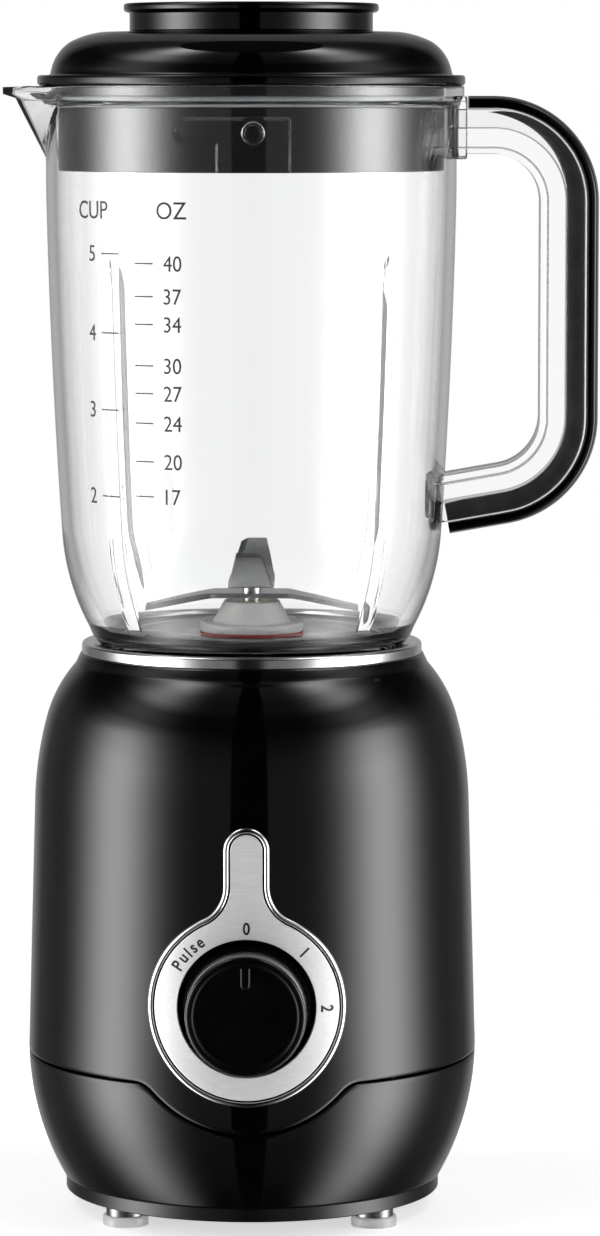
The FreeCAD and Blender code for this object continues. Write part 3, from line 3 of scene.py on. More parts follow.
import bmesh
import bpy
import numpy as np
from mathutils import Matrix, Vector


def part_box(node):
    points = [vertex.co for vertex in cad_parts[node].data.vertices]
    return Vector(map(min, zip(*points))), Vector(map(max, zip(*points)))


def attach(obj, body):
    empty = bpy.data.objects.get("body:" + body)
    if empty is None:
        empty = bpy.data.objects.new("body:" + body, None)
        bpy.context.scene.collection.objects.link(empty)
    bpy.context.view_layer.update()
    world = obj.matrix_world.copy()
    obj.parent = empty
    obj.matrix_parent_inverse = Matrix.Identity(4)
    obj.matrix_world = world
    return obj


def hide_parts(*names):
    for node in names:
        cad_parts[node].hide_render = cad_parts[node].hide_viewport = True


# Looks for the countertop blender. Lengths are in millimetres until a mesh is made.
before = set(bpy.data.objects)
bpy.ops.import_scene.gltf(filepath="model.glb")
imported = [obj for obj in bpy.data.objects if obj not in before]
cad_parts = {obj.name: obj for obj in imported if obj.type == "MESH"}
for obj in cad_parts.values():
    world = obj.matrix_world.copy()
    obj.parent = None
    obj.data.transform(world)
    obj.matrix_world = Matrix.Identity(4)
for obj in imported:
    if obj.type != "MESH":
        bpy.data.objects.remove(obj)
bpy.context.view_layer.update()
mm = 0.001
print("blender scene: frame loaded")


# ---- tools for outlines and surfaces

# lowest and highest corner of a CAD node, in millimetres
def reach(node):
    low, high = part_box(node)
    return np.array(low) / mm, np.array(high) / mm


# Points along an outline. (x, y) goes straight there; (x, y, radius) goes there by a short
# arc that turns left for a positive radius and right for a negative one.
def trace(points, closed=True, step=0.3):
    runs = []
    for index in range(0 if closed else 1, len(points)):
        start, end = (np.array(points[k][:2], float) for k in (index - 1, index))
        chord = end - start
        length = math.hypot(*chord)
        share = np.linspace(0, 1, max(2, int(length / step) + 1))[:-1, None]
        if len(points[index]) == 3:
            radius = points[index][2]
            left = np.array([-chord[1], chord[0]]) / length
            rise = math.copysign(math.sqrt(max(radius**2 - length**2 / 4, 0)), radius)
            centre = (start + end) / 2 + left * rise
            first = math.atan2(start[1] - centre[1], start[0] - centre[0])
            last = math.atan2(end[1] - centre[1], end[0] - centre[0])
            turn = (last - first + math.pi) % (2 * math.pi) - math.pi
            angle = first + share * turn
            runs.append(centre + abs(radius) * np.hstack([np.cos(angle), np.sin(angle)]))
        else:
            runs.append(start + share * chord)
    if not closed:
        runs.append(np.array([points[-1][:2]], float))
    return np.vstack(runs)


# The running mean of an outline: each corner gets rounded over about this many steps.
def soften(path, steps=2, closed=True):
    weight = np.hanning(2 * steps + 3)[1:-1]
    weight /= weight.sum()
    if closed:
        wide = np.vstack([path[-steps:], path, path[:steps]])
    else:
        wide = np.vstack([2 * path[0] - path[steps:0:-1], path,
                          2 * path[-1] - path[-2:-steps - 2:-1]])
    return np.stack([np.convolve(wide[:, k], weight, "valid") for k in range(path.shape[1])], 1)


# Keeps a point for every few degrees of bend, and one at least every `longest` mm, which can
# be one length or a length for each point.
def thin(path, longest=4.0, bend=7.0, closed=True):
    ahead = np.roll(path, -1, 0) - path
    heading = np.unwrap(np.arctan2(ahead[:, 1], ahead[:, 0]))
    turn = np.degrees(np.abs(np.diff(heading, prepend=heading[:1])))
    cost = np.cumsum(np.hypot(*ahead.T) / longest + np.minimum(turn, 90) / bend)
    keep = np.diff(np.floor(cost), prepend=-1) > 0
    if not closed:
        keep[[0, -1]] = True
    return path[keep]


# an outline drawn, rounded and thinned
def profile(points, closed=True, steps=2, longest=4.0, bend=7.0):
    return thin(soften(trace(points, closed), steps, closed), longest, bend, closed)


# evenly spaced angles once round, as a column
def fullTurn(count):
    return np.linspace(0, 2 * math.pi, count, endpoint=False)[:, None]


# the smallest turn between two angles
def apart(angle, middle):
    return np.abs((angle - middle + math.pi) % (2 * math.pi) - math.pi)


# Points about the vertical axis: x = radius cos(angle), y = radius sin(angle), z = height.
def aboutAxis(radius, angle, height):
    return np.stack([radius * np.cos(angle), radius * np.sin(angle), height + 0 * angle], -1)


# turns an outline of (radius, height) about the vertical axis
def turned(outline, count=128):
    return aboutAxis(outline[:, 0], fullTurn(count), outline[:, 1])


# Carries a section along a path in the X-Z plane. A section point (depth, across) sits at
# path + depth * inward normal, and across is along Y.
def swept(path, inward, depth, across):
    out = path[:, None, :] + depth[..., None] * inward[:, None, :]
    return np.stack([out[..., 0], across + 0 * depth, out[..., 1]], -1)


# Faces of a grid of points, as rows of four corner numbers.
def quads(rows, columns, wrapRows, wrapColumns, first):
    corner = np.arange(rows * columns).reshape(rows, columns)
    right = np.roll(corner, -1, 0)
    faces = np.stack([corner, right, np.roll(right, -1, 1), np.roll(corner, -1, 1)], -1)
    faces = faces if wrapRows else faces[:-1]
    faces = faces if wrapColumns else faces[:, :-1]
    return faces.reshape(-1, 4) + first


# One mesh from grids of points in millimetres. Each grid is (points, wrapRows, wrapColumns).
def meshFrom(name, grids, merge=1e-6, sharp=None):
    spots, faces, total = [], [], 0
    for points, wrapRows, wrapColumns in grids:
        spots.append(points.reshape(-1, 3))
        faces.append(quads(*points.shape[:2], wrapRows, wrapColumns, total))
        total += points.shape[0] * points.shape[1]
    spots, faces = np.vstack(spots) * mm, np.vstack(faces)
    data = bpy.data.meshes.new(name)
    data.vertices.add(len(spots))
    data.vertices.foreach_set("co", spots.astype(np.float32).ravel())
    data.loops.add(faces.size)
    data.loops.foreach_set("vertex_index", faces.astype(np.int32).ravel())
    data.polygons.add(len(faces))
    data.polygons.foreach_set("loop_start", np.arange(0, faces.size, 4, dtype=np.int32))
    data.update(calc_edges=True)
    tidy(data, merge, sharp)
    return data


# Merges doubles, drops empty faces, points the faces outwards and shades them smooth.
def tidy(data, merge=1e-6, sharp=None):
    work = bmesh.new()
    work.from_mesh(data)
    bmesh.ops.remove_doubles(work, verts=work.verts, dist=merge)
    bmesh.ops.dissolve_degenerate(work, edges=work.edges, dist=merge)
    bmesh.ops.recalc_face_normals(work, faces=work.faces)
    work.to_mesh(data)
    work.free()
    data.shade_smooth()
    if sharp:
        data.set_sharp_from_angle(angle=math.radians(sharp))
    data.update()


# a tube with one more row at each end, drawn in to that end's middle
def closedEnds(tube):
    start, end = tube[:1].mean(1, keepdims=True), tube[-1:].mean(1, keepdims=True)
    return np.concatenate([start + 0 * tube[:1], tube, end + 0 * tube[-1:]])


def addObject(name, data):
    thing = bpy.data.objects.new(name, data)
    bpy.context.scene.collection.objects.link(thing)
    return thing


# A finished piece: on a body, with a record slot and a finish, standing for CAD nodes. The
# finish is the slot's own unless another is given.
def addPiece(name, data, body, slot, stands=(), finish=None):
    piece = addObject(name, data)
    data.materials.clear()
    data.materials.append(finish or finishes[slot])
    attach(piece, body)
    if stands:
        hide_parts(*stands)


# a piece made from grids of points
def addGrids(name, grids, body, slot, stands=(), sharp=None):
    addPiece(name, meshFrom(name, grids, sharp=sharp), body, slot, stands)


# ---- finishes

# A node material: two close colours mottled by a fine noise, with the same noise in the
# roughness and a little relief. Grain sizes are in millimetres, stretch is along X, Y, Z.
def makeFinish(name, colour, other, rough, roughSpread=0.05, metal=0.0, grain=1.0,
               stretch=(1, 1, 1), relief=0.02, detail=3.0, extra=None, bands=None):
    finish = bpy.data.materials.new(name)
    finish.use_nodes = True
    nodes, links = finish.node_tree.nodes, finish.node_tree.links
    shader = nodes["Principled BSDF"]
    place = nodes.new("ShaderNodeTexCoord")
    mapping = nodes.new("ShaderNodeMapping")
    mapping.inputs["Scale"].default_value = [1 / s for s in stretch]
    links.new(place.outputs["Object"], mapping.inputs["Vector"])
    noise = nodes.new("ShaderNodeTexNoise")
    noise.inputs["Scale"].default_value = 1000 / grain
    noise.inputs["Detail"].default_value = detail
    links.new(mapping.outputs["Vector"], noise.inputs["Vector"])
    pattern = noise.outputs["Fac"]
    if bands:  # (axis, width in mm, waviness): parallel lines, as in wound wire or sheets
        wave = nodes.new("ShaderNodeTexWave")
        wave.bands_direction = bands[0]
        wave.inputs["Scale"].default_value = 500 / bands[1]
        wave.inputs["Distortion"].default_value = bands[2]
        links.new(place.outputs["Object"], wave.inputs["Vector"])
        pattern = wave.outputs["Fac"]
    ramp = nodes.new("ShaderNodeValToRGB")
    ramp.color_ramp.elements[0].position, ramp.color_ramp.elements[1].position = 0.3, 0.7
    ramp.color_ramp.elements[0].color = (*colour, 1)
    ramp.color_ramp.elements[1].color = (*other, 1)
    links.new(pattern, ramp.inputs["Fac"])
    links.new(ramp.outputs["Color"], shader.inputs["Base Color"])
    spread = nodes.new("ShaderNodeMapRange")
    spread.inputs["To Min"].default_value = max(rough - roughSpread, 0.0)
    spread.inputs["To Max"].default_value = rough + roughSpread
    links.new(noise.outputs["Fac"], spread.inputs["Value"])
    links.new(spread.outputs["Result"], shader.inputs["Roughness"])
    if relief:
        bump = nodes.new("ShaderNodeBump")
        bump.inputs["Strength"].default_value = 0.6
        bump.inputs["Distance"].default_value = relief * mm
        links.new(pattern, bump.inputs["Height"])
        links.new(bump.outputs["Normal"], shader.inputs["Normal"])
    shader.inputs["Metallic"].default_value = metal
    for socket, value in (extra or {}).items():
        shader.inputs[socket].default_value = value
    return finish


gloss = {"colour": (0.0006, 0.0006, 0.0007), "other": (0.0013, 0.0013, 0.0015), "rough": 0.06,
         "roughSpread": 0.025, "grain": 9.0, "relief": 0.003, "extra": {"IOR": 1.52}}
clearPlastic = {"colour": (0.985, 0.99, 0.99), "other": (0.995, 0.995, 0.995), "rough": 0.015,
                "roughSpread": 0.012, "grain": 30.0, "relief": 0.004,
                "extra": {"Transmission Weight": 1.0, "IOR": 1.46}}

finishes = {
    "gloss_black": makeFinish("glossBlackShell", **gloss),
    "clear": makeFinish("clearJarPlastic", **clearPlastic),
    "dark_clear": makeFinish("smokedPlastic", (0.02, 0.02, 0.022), (0.03, 0.03, 0.032), 0.08,
                             0.02, grain=20.0, relief=0.003),
    "silver": makeFinish("polishedTrimSilver", (0.78, 0.78, 0.79), (0.84, 0.84, 0.85), 0.16,
                         0.05, 1.0, grain=6.0, relief=0.003),
    "satin_silver": makeFinish("satinPanelSilver", (0.84, 0.84, 0.85), (0.92, 0.92, 0.93), 0.42,
                               0.07, 0.45, grain=0.5, stretch=(14, 1, 1), relief=0.006,
                               detail=5.0),
    "knob_dark": makeFinish("knobBlack", (0.0012, 0.0012, 0.0014), (0.0025, 0.0025, 0.003), 0.12,
                            0.04, grain=4.0, relief=0.006),
    "plate_black": makeFinish("mouldedBaseBlack", (0.002, 0.002, 0.002), (0.004, 0.004, 0.004),
                              0.24, 0.08, grain=0.6, relief=0.02, detail=6.0),
    "foot_clear": makeFinish("softFootPlastic", (0.62, 0.63, 0.64), (0.74, 0.75, 0.76), 0.32,
                             0.08, grain=2.0, relief=0.01,
                             extra={"Transmission Weight": 0.55, "IOR": 1.43}),
    "foot_dark": makeFinish("glossyFootStem", (0.20, 0.20, 0.21), (0.28, 0.28, 0.29), 0.18,
                            0.06, 0.85, grain=3.0, relief=0.006),
    "steel": makeFinish("groundSteel", (0.55, 0.56, 0.58), (0.70, 0.71, 0.73), 0.22, 0.08, 1.0,
                        grain=0.35, stretch=(10, 1, 1), relief=0.008, detail=5.0),
    "zinc": makeFinish("platedZinc", (0.50, 0.52, 0.55), (0.64, 0.65, 0.66), 0.36, 0.12, 1.0,
                       grain=3.0, relief=0.01, detail=4.0),
    "brass": makeFinish("drawnBrass", (0.68, 0.50, 0.22), (0.78, 0.60, 0.30), 0.30, 0.08, 1.0,
                        grain=1.2, relief=0.008),
    "copper": makeFinish("enamelledCopper", (0.40, 0.13, 0.04), (0.80, 0.36, 0.16), 0.32, 0.08,
                         0.9, grain=2.0, relief=0.25, bands=("Z", 0.9, 0.6)),
    "lamination": makeFinish("stackedSteelSheet", (0.16, 0.16, 0.17), (0.36, 0.36, 0.38), 0.45,
                             0.1, 0.9, grain=1.5, relief=0.08, bands=("Z", 1.0, 0.2)),
    "silicone": makeFinish("paleSilicone", (0.62, 0.63, 0.62), (0.74, 0.75, 0.74), 0.45, 0.1,
                           grain=1.5, relief=0.02, extra={"Subsurface Weight": 0.1}),
    "red_silicone": makeFinish("redSilicone", (0.38, 0.02, 0.015), (0.52, 0.035, 0.025), 0.42,
                               0.1, grain=1.5, relief=0.02),
    "white_plastic": makeFinish("mouldedWhite", (0.76, 0.76, 0.74), (0.84, 0.84, 0.82), 0.35,
                                0.08, grain=1.2, relief=0.015),
    "grey_plastic": makeFinish("mouldedGrey", (0.16, 0.17, 0.18), (0.23, 0.24, 0.25), 0.45, 0.1,
                               grain=0.9, relief=0.03, detail=5.0),
    "carbon": makeFinish("pressedCarbon", (0.02, 0.02, 0.022), (0.05, 0.05, 0.055), 0.6, 0.12,
                         grain=0.4, relief=0.03, detail=6.0),
}
printInk = makeFinish("blackPrint", (0.008, 0.008, 0.008), (0.02, 0.02, 0.02), 0.4, 0.1,
                      grain=0.5, relief=0.003)
# the handle's tongue: the same black plastic as the cover, painted lighter grey as a painted
# sheen for how the black looks through the clear channel
tonguePaintedGrey = makeFinish("handleTonguePaintedGrey", (0.050, 0.050, 0.052), (0.075, 0.075, 0.078),
                         0.25, 0.05, grain=6.0, relief=0.005)

# the CAD nodes that stay get the finish of their record slot
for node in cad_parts.values():
    for holder in node.material_slots:
        slotName = holder.material.name.split(".")[0] if holder.material else ""
        if slotName in finishes:
            holder.material = finishes[slotName]
print("blender scene: finishes made")


# ---- base housing

top = reach("upper_housing")[1][2]
shell = {"footprint": 58.3, "bottom": 10.0, "body": 69.4, "belt": 51.0, "shoulder": 67.2,
         "neck": 63.0, "lip": 54.5, "rim": 52.9, "well": 46.8, "deck": top - 17.0, "wall": 2.5,
         "seamGap": 0.3, "seam": 49.3, "dip": 38.8, "blend": 8.0, "panel": 73.1,
         "recess": 63.5, "recessBack": 60.5, "recessRadius": 22.0, "backRadius": 24.0,
         "hatch": 9.0, "ledge": 4.4, "stretchFrom": 34.0, "stretchTo": 100.0,
         "lowerTop": 55.0, "columns": 320}

outerWall = [(shell["footprint"], shell["bottom"]), (shell["body"], shell["belt"], 84.0),
             (shell["shoulder"], top - 45.0), (shell["neck"], top - 18.3, 109.0),
             (shell["lip"], top - 3.4, 41.0)]
wallLine = trace(outerWall, closed=False)


# radius of the base's outer wall at each height, read off its outline
def wallRadius(height):
    return np.interp(height, wallLine[:, 1], wallLine[:, 0])


# Height of the seam as x goes from side to side: level, with a round dip under the panel that
# is centred on the knob, and a small arc of the other sense where the two meet.
def seamHeight(x, gap):
    dip, blend, level = shell["dip"] + gap, shell["blend"] - gap, shell["seam"] - gap
    drop = shell["panel"] - level + blend
    blendX = math.sqrt((dip + blend) ** 2 - drop**2)
    tangentX = blendX * dip / (dip + blend)
    across = np.abs(x)
    bowl = shell["panel"] - np.sqrt(np.maximum(dip**2 - np.minimum(across, tangentX) ** 2, 0))
    brow = level - blend + np.sqrt(np.maximum(blend**2 - (blendX - across) ** 2, 0))
    return np.where(across < tangentX, bowl, np.where(across < blendX, brow, level))


# the seam's height at each angle round the wall, on the front half only
def seamAround(angle, gap):
    height = np.full_like(angle, shell["seam"] - gap)
    for _ in range(4):
        x = wallRadius(height) * np.cos(angle)
        height = np.where(np.sin(angle) < 0, seamHeight(x, gap), shell["seam"] - gap)
    return height


# Upper housing: the outline's lower part is stretched so that it ends at the seam, and what
# lies behind the knob is pressed in to make the recess. Below the height `held` each point
# keeps its wall: height' = seam + (height - low) (held - seam) / (held - low).
def makeUpperShell():
    low, held, wall = shell["stretchFrom"], shell["stretchTo"], shell["wall"]
    deck, hatch, ledge = shell["deck"], shell["hatch"], top - shell["ledge"]
    inner = wallLine - [wall, 0]
    start = np.searchsorted(wallLine[:, 1], low)
    outside = wallLine[start:]
    crown = trace([(shell["lip"], top - 3.4), (shell["rim"], top), (shell["well"], top),
                   (shell["well"], deck), (hatch, deck), (hatch, deck - wall),
                   (shell["well"] + wall, deck - wall), (shell["well"] + wall, ledge),
                   (shell["lip"] - wall, ledge)], closed=False)
    back = inner[(inner[:, 1] > low) & (inner[:, 1] < top - 7)][::-1]
    loop = thin(soften(np.vstack([outside[:-1], crown, back]), 2), 2.0, 6.0)
    angle = fullTurn(shell["columns"]) - math.pi / 2
    seam = seamAround(angle, 0.0)
    height = loop[:, 1] + 0 * angle
    stretched = seam + (height - low) * (held - seam) / (held - low)
    lower = height < held
    offset = loop[:, 0] - wallRadius(loop[:, 1])
    height = np.where(lower, stretched, height)
    radius = np.where(lower, wallRadius(height) + offset, loop[:, 0])
    x, y = radius * np.cos(angle), radius * np.sin(angle)
    away = np.hypot(x, height - shell["panel"])
    isInner = (offset < -wall / 2) & lower
    floor = (y < 0) & ~isInner & lower & (away < shell["recessRadius"])
    y = np.where(floor, np.maximum(y, -shell["recess"]), y)
    back = (y < 0) & isInner & (away < shell["backRadius"])
    y = np.where(back, np.maximum(y, -shell["recessBack"]), y)
    return np.stack([x, y, height], -1)


# lower housing: stretched in the same way, so that it stops a small gap below the seam
def makeLowerShell():
    outside = wallLine[wallLine[:, 1] < shell["lowerTop"]]
    inside = (outside - [shell["wall"], 0])[::-1]
    loop = thin(soften(np.vstack([outside, inside]), 2), 2.0, 6.0)
    angle = fullTurn(shell["columns"]) - math.pi / 2
    seam = seamAround(angle, shell["seamGap"])
    low, high = loop[:, 1].min(), loop[:, 1].max()
    height = low + (loop[:, 1] - low) * (seam - low) / (high - low)
    radius = wallRadius(height) + loop[:, 0] - wallRadius(loop[:, 1])
    return aboutAxis(radius, angle, height)


addGrids("upperShell", [(makeUpperShell(), True, True)], "base", "gloss_black",
         ["upper_housing"])
addGrids("lowerShell", [(makeLowerShell(), True, True)], "base", "gloss_black",
         ["lower_housing"])

ring = {"inner": 47.2, "outer": 52.5, "height": 3.5, "bevel": 1.8, "edge": 0.9}
ringLine = profile([(ring["inner"], top), (ring["outer"], top),
                    (ring["outer"], top + ring["height"] - ring["edge"]),
                    (ring["outer"] - ring["edge"], top + ring["height"], ring["edge"]),
                    (ring["inner"] + ring["bevel"], top + ring["height"]),
                    (ring["inner"], top + ring["height"] - ring["bevel"])], steps=1, longest=1.0)
addGrids("trimRing", [(turned(ringLine, 192), True, True)], "base", "silver", ["trim_ring"])
print("blender scene: base housing made")


# ---- control panel

panel = {"disc": 29.8, "half": 6.9, "top": 127.4, "flare": 11.0, "plateInset": 2.1,
         "plateRise": 0.7, "hole": 20.75, "tube": 20.85, "tubeOuter": 22.4,
         "height": shell["panel"]}


# The keyhole outline as (x, z) points with its outward normals: a disc, two hollow flares and
# a stem with a round top.
def keyhole():
    disc, half, flare, middle = (panel[k] for k in ("disc", "half", "flare", "height"))
    across = half + flare
    rise = math.sqrt((disc + flare) ** 2 - across**2)
    share = disc / (disc + flare)
    right = [(0, middle - disc), (across * share, middle + rise * share, disc),
             (half, middle + rise, -flare), (half, panel["top"] - half),
             (0, panel["top"], half)]
    line = trace(right, closed=False, step=0.5)
    line = np.vstack([line, (line * [-1, 1])[-2:0:-1]])
    ahead = soften(np.roll(line, -1, 0) - np.roll(line, 1, 0), 2)
    normal = np.stack([ahead[:, 1], -ahead[:, 0]], 1)
    return line, normal / np.hypot(*normal.T)[:, None]


# Lays (x, z) points on the front of the base, `rise` millimetres proud of it:
# y = -(square root of wallRadius(z)^2 - x^2) - rise.
def onFront(x, z, rise):
    return np.stack([x, -np.sqrt(wallRadius(z) ** 2 - x**2) - rise, z], -1)


keyLine, keyNormal = keyhole()

# bezel: a rounded bar that follows the outline, section given as (inset, rise)
bezelBar = profile([(0, -0.6), (0, 0.8), (0.4, 1.2, -0.4), (1.2, 1.2), (1.6, 0.8, -0.4),
                    (1.6, -0.6)], steps=1, longest=0.4)
inset, rise = bezelBar[:, 0], bezelBar[:, 1]
x = keyLine[:, 0, None] - inset * keyNormal[:, 0, None]
z = keyLine[:, 1, None] - inset * keyNormal[:, 1, None]
addGrids("panelBezel", [(onFront(x, z, rise + 0 * x), True, True)], "base", "silver",
         ["panel_bezel"])

# plate: from the hole's edge out to the inset outline, with rounded rims, and back beneath
edgeX = keyLine[:, 0] - panel["plateInset"] * keyNormal[:, 0]
edgeZ = keyLine[:, 1] - panel["plateInset"] * keyNormal[:, 1]
bearing = np.arctan2(edgeX, edgeZ - panel["height"])
holeX = panel["hole"] * np.sin(bearing)
holeZ = panel["height"] + panel["hole"] * np.cos(bearing)
share = np.concatenate([[0, 0, 0.004, 0.012], np.linspace(0.04, 0.96, 20),
                        [0.988, 0.996, 1, 1]])
rimRise = [-1.2, 0.45, 0.62, panel["plateRise"]]
rise = np.concatenate([rimRise, np.full(20, panel["plateRise"]), rimRise[::-1]])
under = np.linspace(0.99, 0.01, len(share) - 3)
share = np.concatenate([share, under])
rise = np.concatenate([rise, np.full(len(under), -1.3)])
x = holeX[:, None] * (1 - share) + edgeX[:, None] * share
z = holeZ[:, None] * (1 - share) + edgeZ[:, None] * share
addGrids("panelPlate", [(onFront(x, z, rise + 0 * x), True, True)], "base", "satin_silver",
         ["panel_plate"])

# the wall of the knob's recess: a short tube from the plate back to the recess floor
around = fullTurn(128)
tube, outer = panel["tube"], panel["tubeOuter"]
tubeRadius = np.array([tube, tube, outer, outer, tube])[None, :]
x = tubeRadius * np.sin(around)
z = panel["height"] + tubeRadius * np.cos(around)
frontY = onFront(x, z, -0.1)[..., 1]
y = np.where(np.array([0, 1, 1, 0, 0])[None, :] > 0, frontY, -shell["recess"] + 0.3)
addGrids("recessWall", [(np.stack([x, y, z], -1), True, True)], "base", "gloss_black", sharp=30)
print("blender scene: control panel made")


# ---- knob

knob = {"root": 19.1, "face": 17.95, "circle": 15.95, "length": 19.0, "back": 64.0,
        "hollow": 8.0, "pointerAt": 11.6, "pointerHalf": 1.5, "pointerHeight": 6.5,
        "line": 0.6, "notchDepth": 0.55, "notchAt": (-130, -92, -48, 0, 48, 92, 148, 190)}


# Knob: an outline turned about the front-to-back axis, with small paired dents round its side.
# radius' = radius - depth * sum of bell curves in angle, faded in and out along the side.
def makeKnob():
    length = knob["length"]
    line = profile([(0, length - 0.4), (knob["circle"] - 0.5, length - 0.4),
                    (knob["circle"], length), (knob["face"] - 1.0, length),
                    (knob["face"], length - 1.0, -1.0), (knob["root"] - 0.35, 3.2),
                    (knob["root"], 2.6), (knob["root"], 0), (knob["root"] - 2.4, 0),
                    (knob["root"] - 2.4, knob["hollow"]), (0, knob["hollow"])],
                   closed=False, steps=1, longest=1.0)
    angle = fullTurn(480)
    radius, along = line[:, 0] + 0 * angle, line[:, 1] + 0 * angle
    dent = np.zeros_like(angle)
    for place in np.radians(knob["notchAt"]):
        for side in (-0.055, 0.055):
            dent += np.exp(-((apart(angle, place + side) / 0.03) ** 2))
    side = np.clip((along - 3.4) / 0.8, 0, 1) * np.clip((9.0 - along) / 5.0, 0, 1)
    outer = (radius > 17.6) & (np.arange(len(line)) < len(line) * 0.75)
    radius = radius - np.where(outer, knob["notchDepth"] * dent * side, 0)
    x, z = radius * np.sin(angle), radius * np.cos(angle)
    return np.stack([x, -(knob["back"] + along), shell["panel"] + z], -1)


# pointer: a thin raised bar that goes down one side, round the bottom and up the other
def makePointer():
    half, tall = knob["pointerHalf"] - knob["line"] / 2, knob["pointerHeight"]
    topZ = shell["panel"] + knob["pointerAt"] + tall / 2 - knob["line"] / 2
    lowZ = topZ - tall + half + knob["line"] / 2
    line = trace([(-half, topZ), (-half, lowZ), (0, lowZ - half, half), (half, lowZ, half),
                  (half, topZ)], closed=False, step=0.25)
    ahead = np.gradient(line, axis=0)
    normal = np.stack([ahead[:, 1], -ahead[:, 0]], 1) / np.hypot(*ahead.T)[:, None]
    section = profile([(-0.3, -0.2), (-0.3, 0.15), (-0.05, 0.4), (0.05, 0.4), (0.3, 0.15),
                       (0.3, -0.2)], steps=1, longest=0.2)
    place = line[:, None, :] + section[:, 0, None] * normal[:, None, :]
    y = -(knob["back"] + knob["length"] - 0.4) - section[:, 1] + 0 * place[..., 0]
    return closedEnds(np.stack([place[..., 0], y, place[..., 1]], -1))


addGrids("speedKnob", [(makeKnob(), True, False), (makePointer(), False, True)], "knob",
         "knob_dark", ["speed_knob"])
print("blender scene: knob made")


# ---- printed labels

# A word as a thin mesh, and its points in millimetres counted from the word's middle.
def wordMesh(text, height, depth=0.08, bold=0.0):
    curve = bpy.data.curves.new("word", "FONT")
    curve.body = text
    curve.size = height * 1.42
    curve.extrude = depth
    curve.offset = bold * height
    curve.resolution_u = 4
    holder = addObject("word", curve)
    bpy.context.view_layer.update()
    data = bpy.data.meshes.new_from_object(
        holder.evaluated_get(bpy.context.evaluated_depsgraph_get()))
    bpy.data.objects.remove(holder)
    spots = np.zeros(len(data.vertices) * 3)
    data.vertices.foreach_get("co", spots)
    spots = spots.reshape(-1, 3)
    middle = (spots.min(0) + spots.max(0)) / 2
    return data, spots - middle


# the word's mesh with its points moved to where they belong
def placeWord(data, spots):
    data.vertices.foreach_set("co", (spots * mm).astype(np.float32).ravel())
    tidy(data, 1e-7, 40)
    return data


# Dial letters stand on a circle round the knob: each is turned by its bearing and laid on the
# plate, so x = R sin(bearing) + turned letter x, z = middle + R cos(bearing) + turned letter y.
dial = {"radius": 24.1, "letter": 3.6, "pitch": 6.6, "stretch": 0.86,
        "marks": (("0", 0.0), ("1", 46.0), ("2", 91.0)), "word": "Pulse", "wordAt": -47.0,
        "widths": (1.05, 1.0, 0.62, 0.92, 0.95), "low": "use", "drop": 0.38, "bold": 0.03}
letters = list(dial["marks"])
widths = np.array(dial["widths"])
starts = np.cumsum(widths) - widths / 2 - widths.sum() / 2
letters += [(letter, dial["wordAt"] + offset * dial["pitch"])
            for letter, offset in zip(dial["word"], starts)]
for number, (letter, bearing) in enumerate(letters):
    data, spots = wordMesh(letter, dial["letter"], bold=dial["bold"])
    turn = math.radians(bearing)
    drop = dial["drop"] if letter in dial["low"] else 0.0
    x = spots[:, 0] * dial["stretch"]
    z = spots[:, 1] + dial["radius"] - drop
    wide = x * math.cos(turn) + z * math.sin(turn)
    high = shell["panel"] - x * math.sin(turn) + z * math.cos(turn)
    spots = onFront(wide, high, panel["plateRise"] + 0.03 + spots[:, 2] * 0.4)
    addPiece(f"dialMark{number}", placeWord(data, spots), "base", "knob_dark", (), printInk)
print("blender scene: dial printed")


# ---- jar

jarLow, jarHigh = reach("jar")
rim = jarHigh[2]
foot = jarLow[2]
jar = {"skirt": 44.6, "skirtWall": 3.2, "heel": 45.6, "calf": 50.1, "waist": 58.5,
       "radius": 62.9, "wall": 3.0, "lip": 65.2, "hub": 9.5, "spoutReach": 76.2,
       "spoutNose": 6.0, "spoutDeep": 25, "ribDepth": 2.6, "ribHalf": 2.5,
       "ribTop": foot + 137.0, "ribFade": 9.0, "ribs": (45, 135, 225, 315)}
jarOutside = [(jar["heel"], foot + 17.9), (jar["calf"], foot + 24, 11.0),
              (jar["waist"], foot + 54, 71.0), (jar["radius"], foot + 158, 2300.0),
              (jar["radius"], rim - 6.0), (jar["lip"], rim - 4.6), (jar["lip"], rim)]
outerLine = trace(jarOutside, closed=False)


# the jar's outer radius at each height
def jarRadius(height):
    return np.interp(height, outerLine[:, 1], outerLine[:, 0])


# Distance from the axis to the spout's outline at an angle from the spout's direction. The
# outline is a nose circle with two tangents to the jar's circle: on a tangent the distance is
# circle / cos(turn - angle), and on the nose it is away cos(angle) + sqrt(nose^2 -
# away^2 sin(angle)^2), where away = farthest - nose.
def spoutRadius(angle, farthest, nose, circle):
    away = farthest - nose
    turn = np.arccos(np.clip((circle - nose) / away, -1, 1))
    angle = np.abs(angle)
    noseEnd = np.arctan2(nose * np.sin(turn), away + nose * np.cos(turn))
    tangent = circle / np.maximum(np.cos(turn - angle), 0.05)
    tip = away * np.cos(angle) + np.sqrt(np.maximum(nose**2 - (away * np.sin(angle)) ** 2, 0))
    pushed = np.where(angle < noseEnd, tip, tangent)
    return np.where(angle < turn, pushed, circle)


# Angles round the jar, closer together at the ribs' edges and over the spout.
def jarAngles(count=340):
    fine = np.linspace(-math.pi, math.pi, 7200, endpoint=False)
    need = np.ones_like(fine)
    for rib in jar["ribs"]:
        for edge in (-1, 1):
            away = apart(fine, math.radians(rib) + edge * 0.047)
            need += 7 * np.exp(-((away / 0.022) ** 2))
    away = apart(fine, math.pi)
    need += 1.6 * (away < 0.72) + 3.0 * np.exp(-((away / 0.12) ** 2))
    total = np.cumsum(need) / need.sum()
    return np.interp((np.arange(count) + 0.5) / count, total, fine)


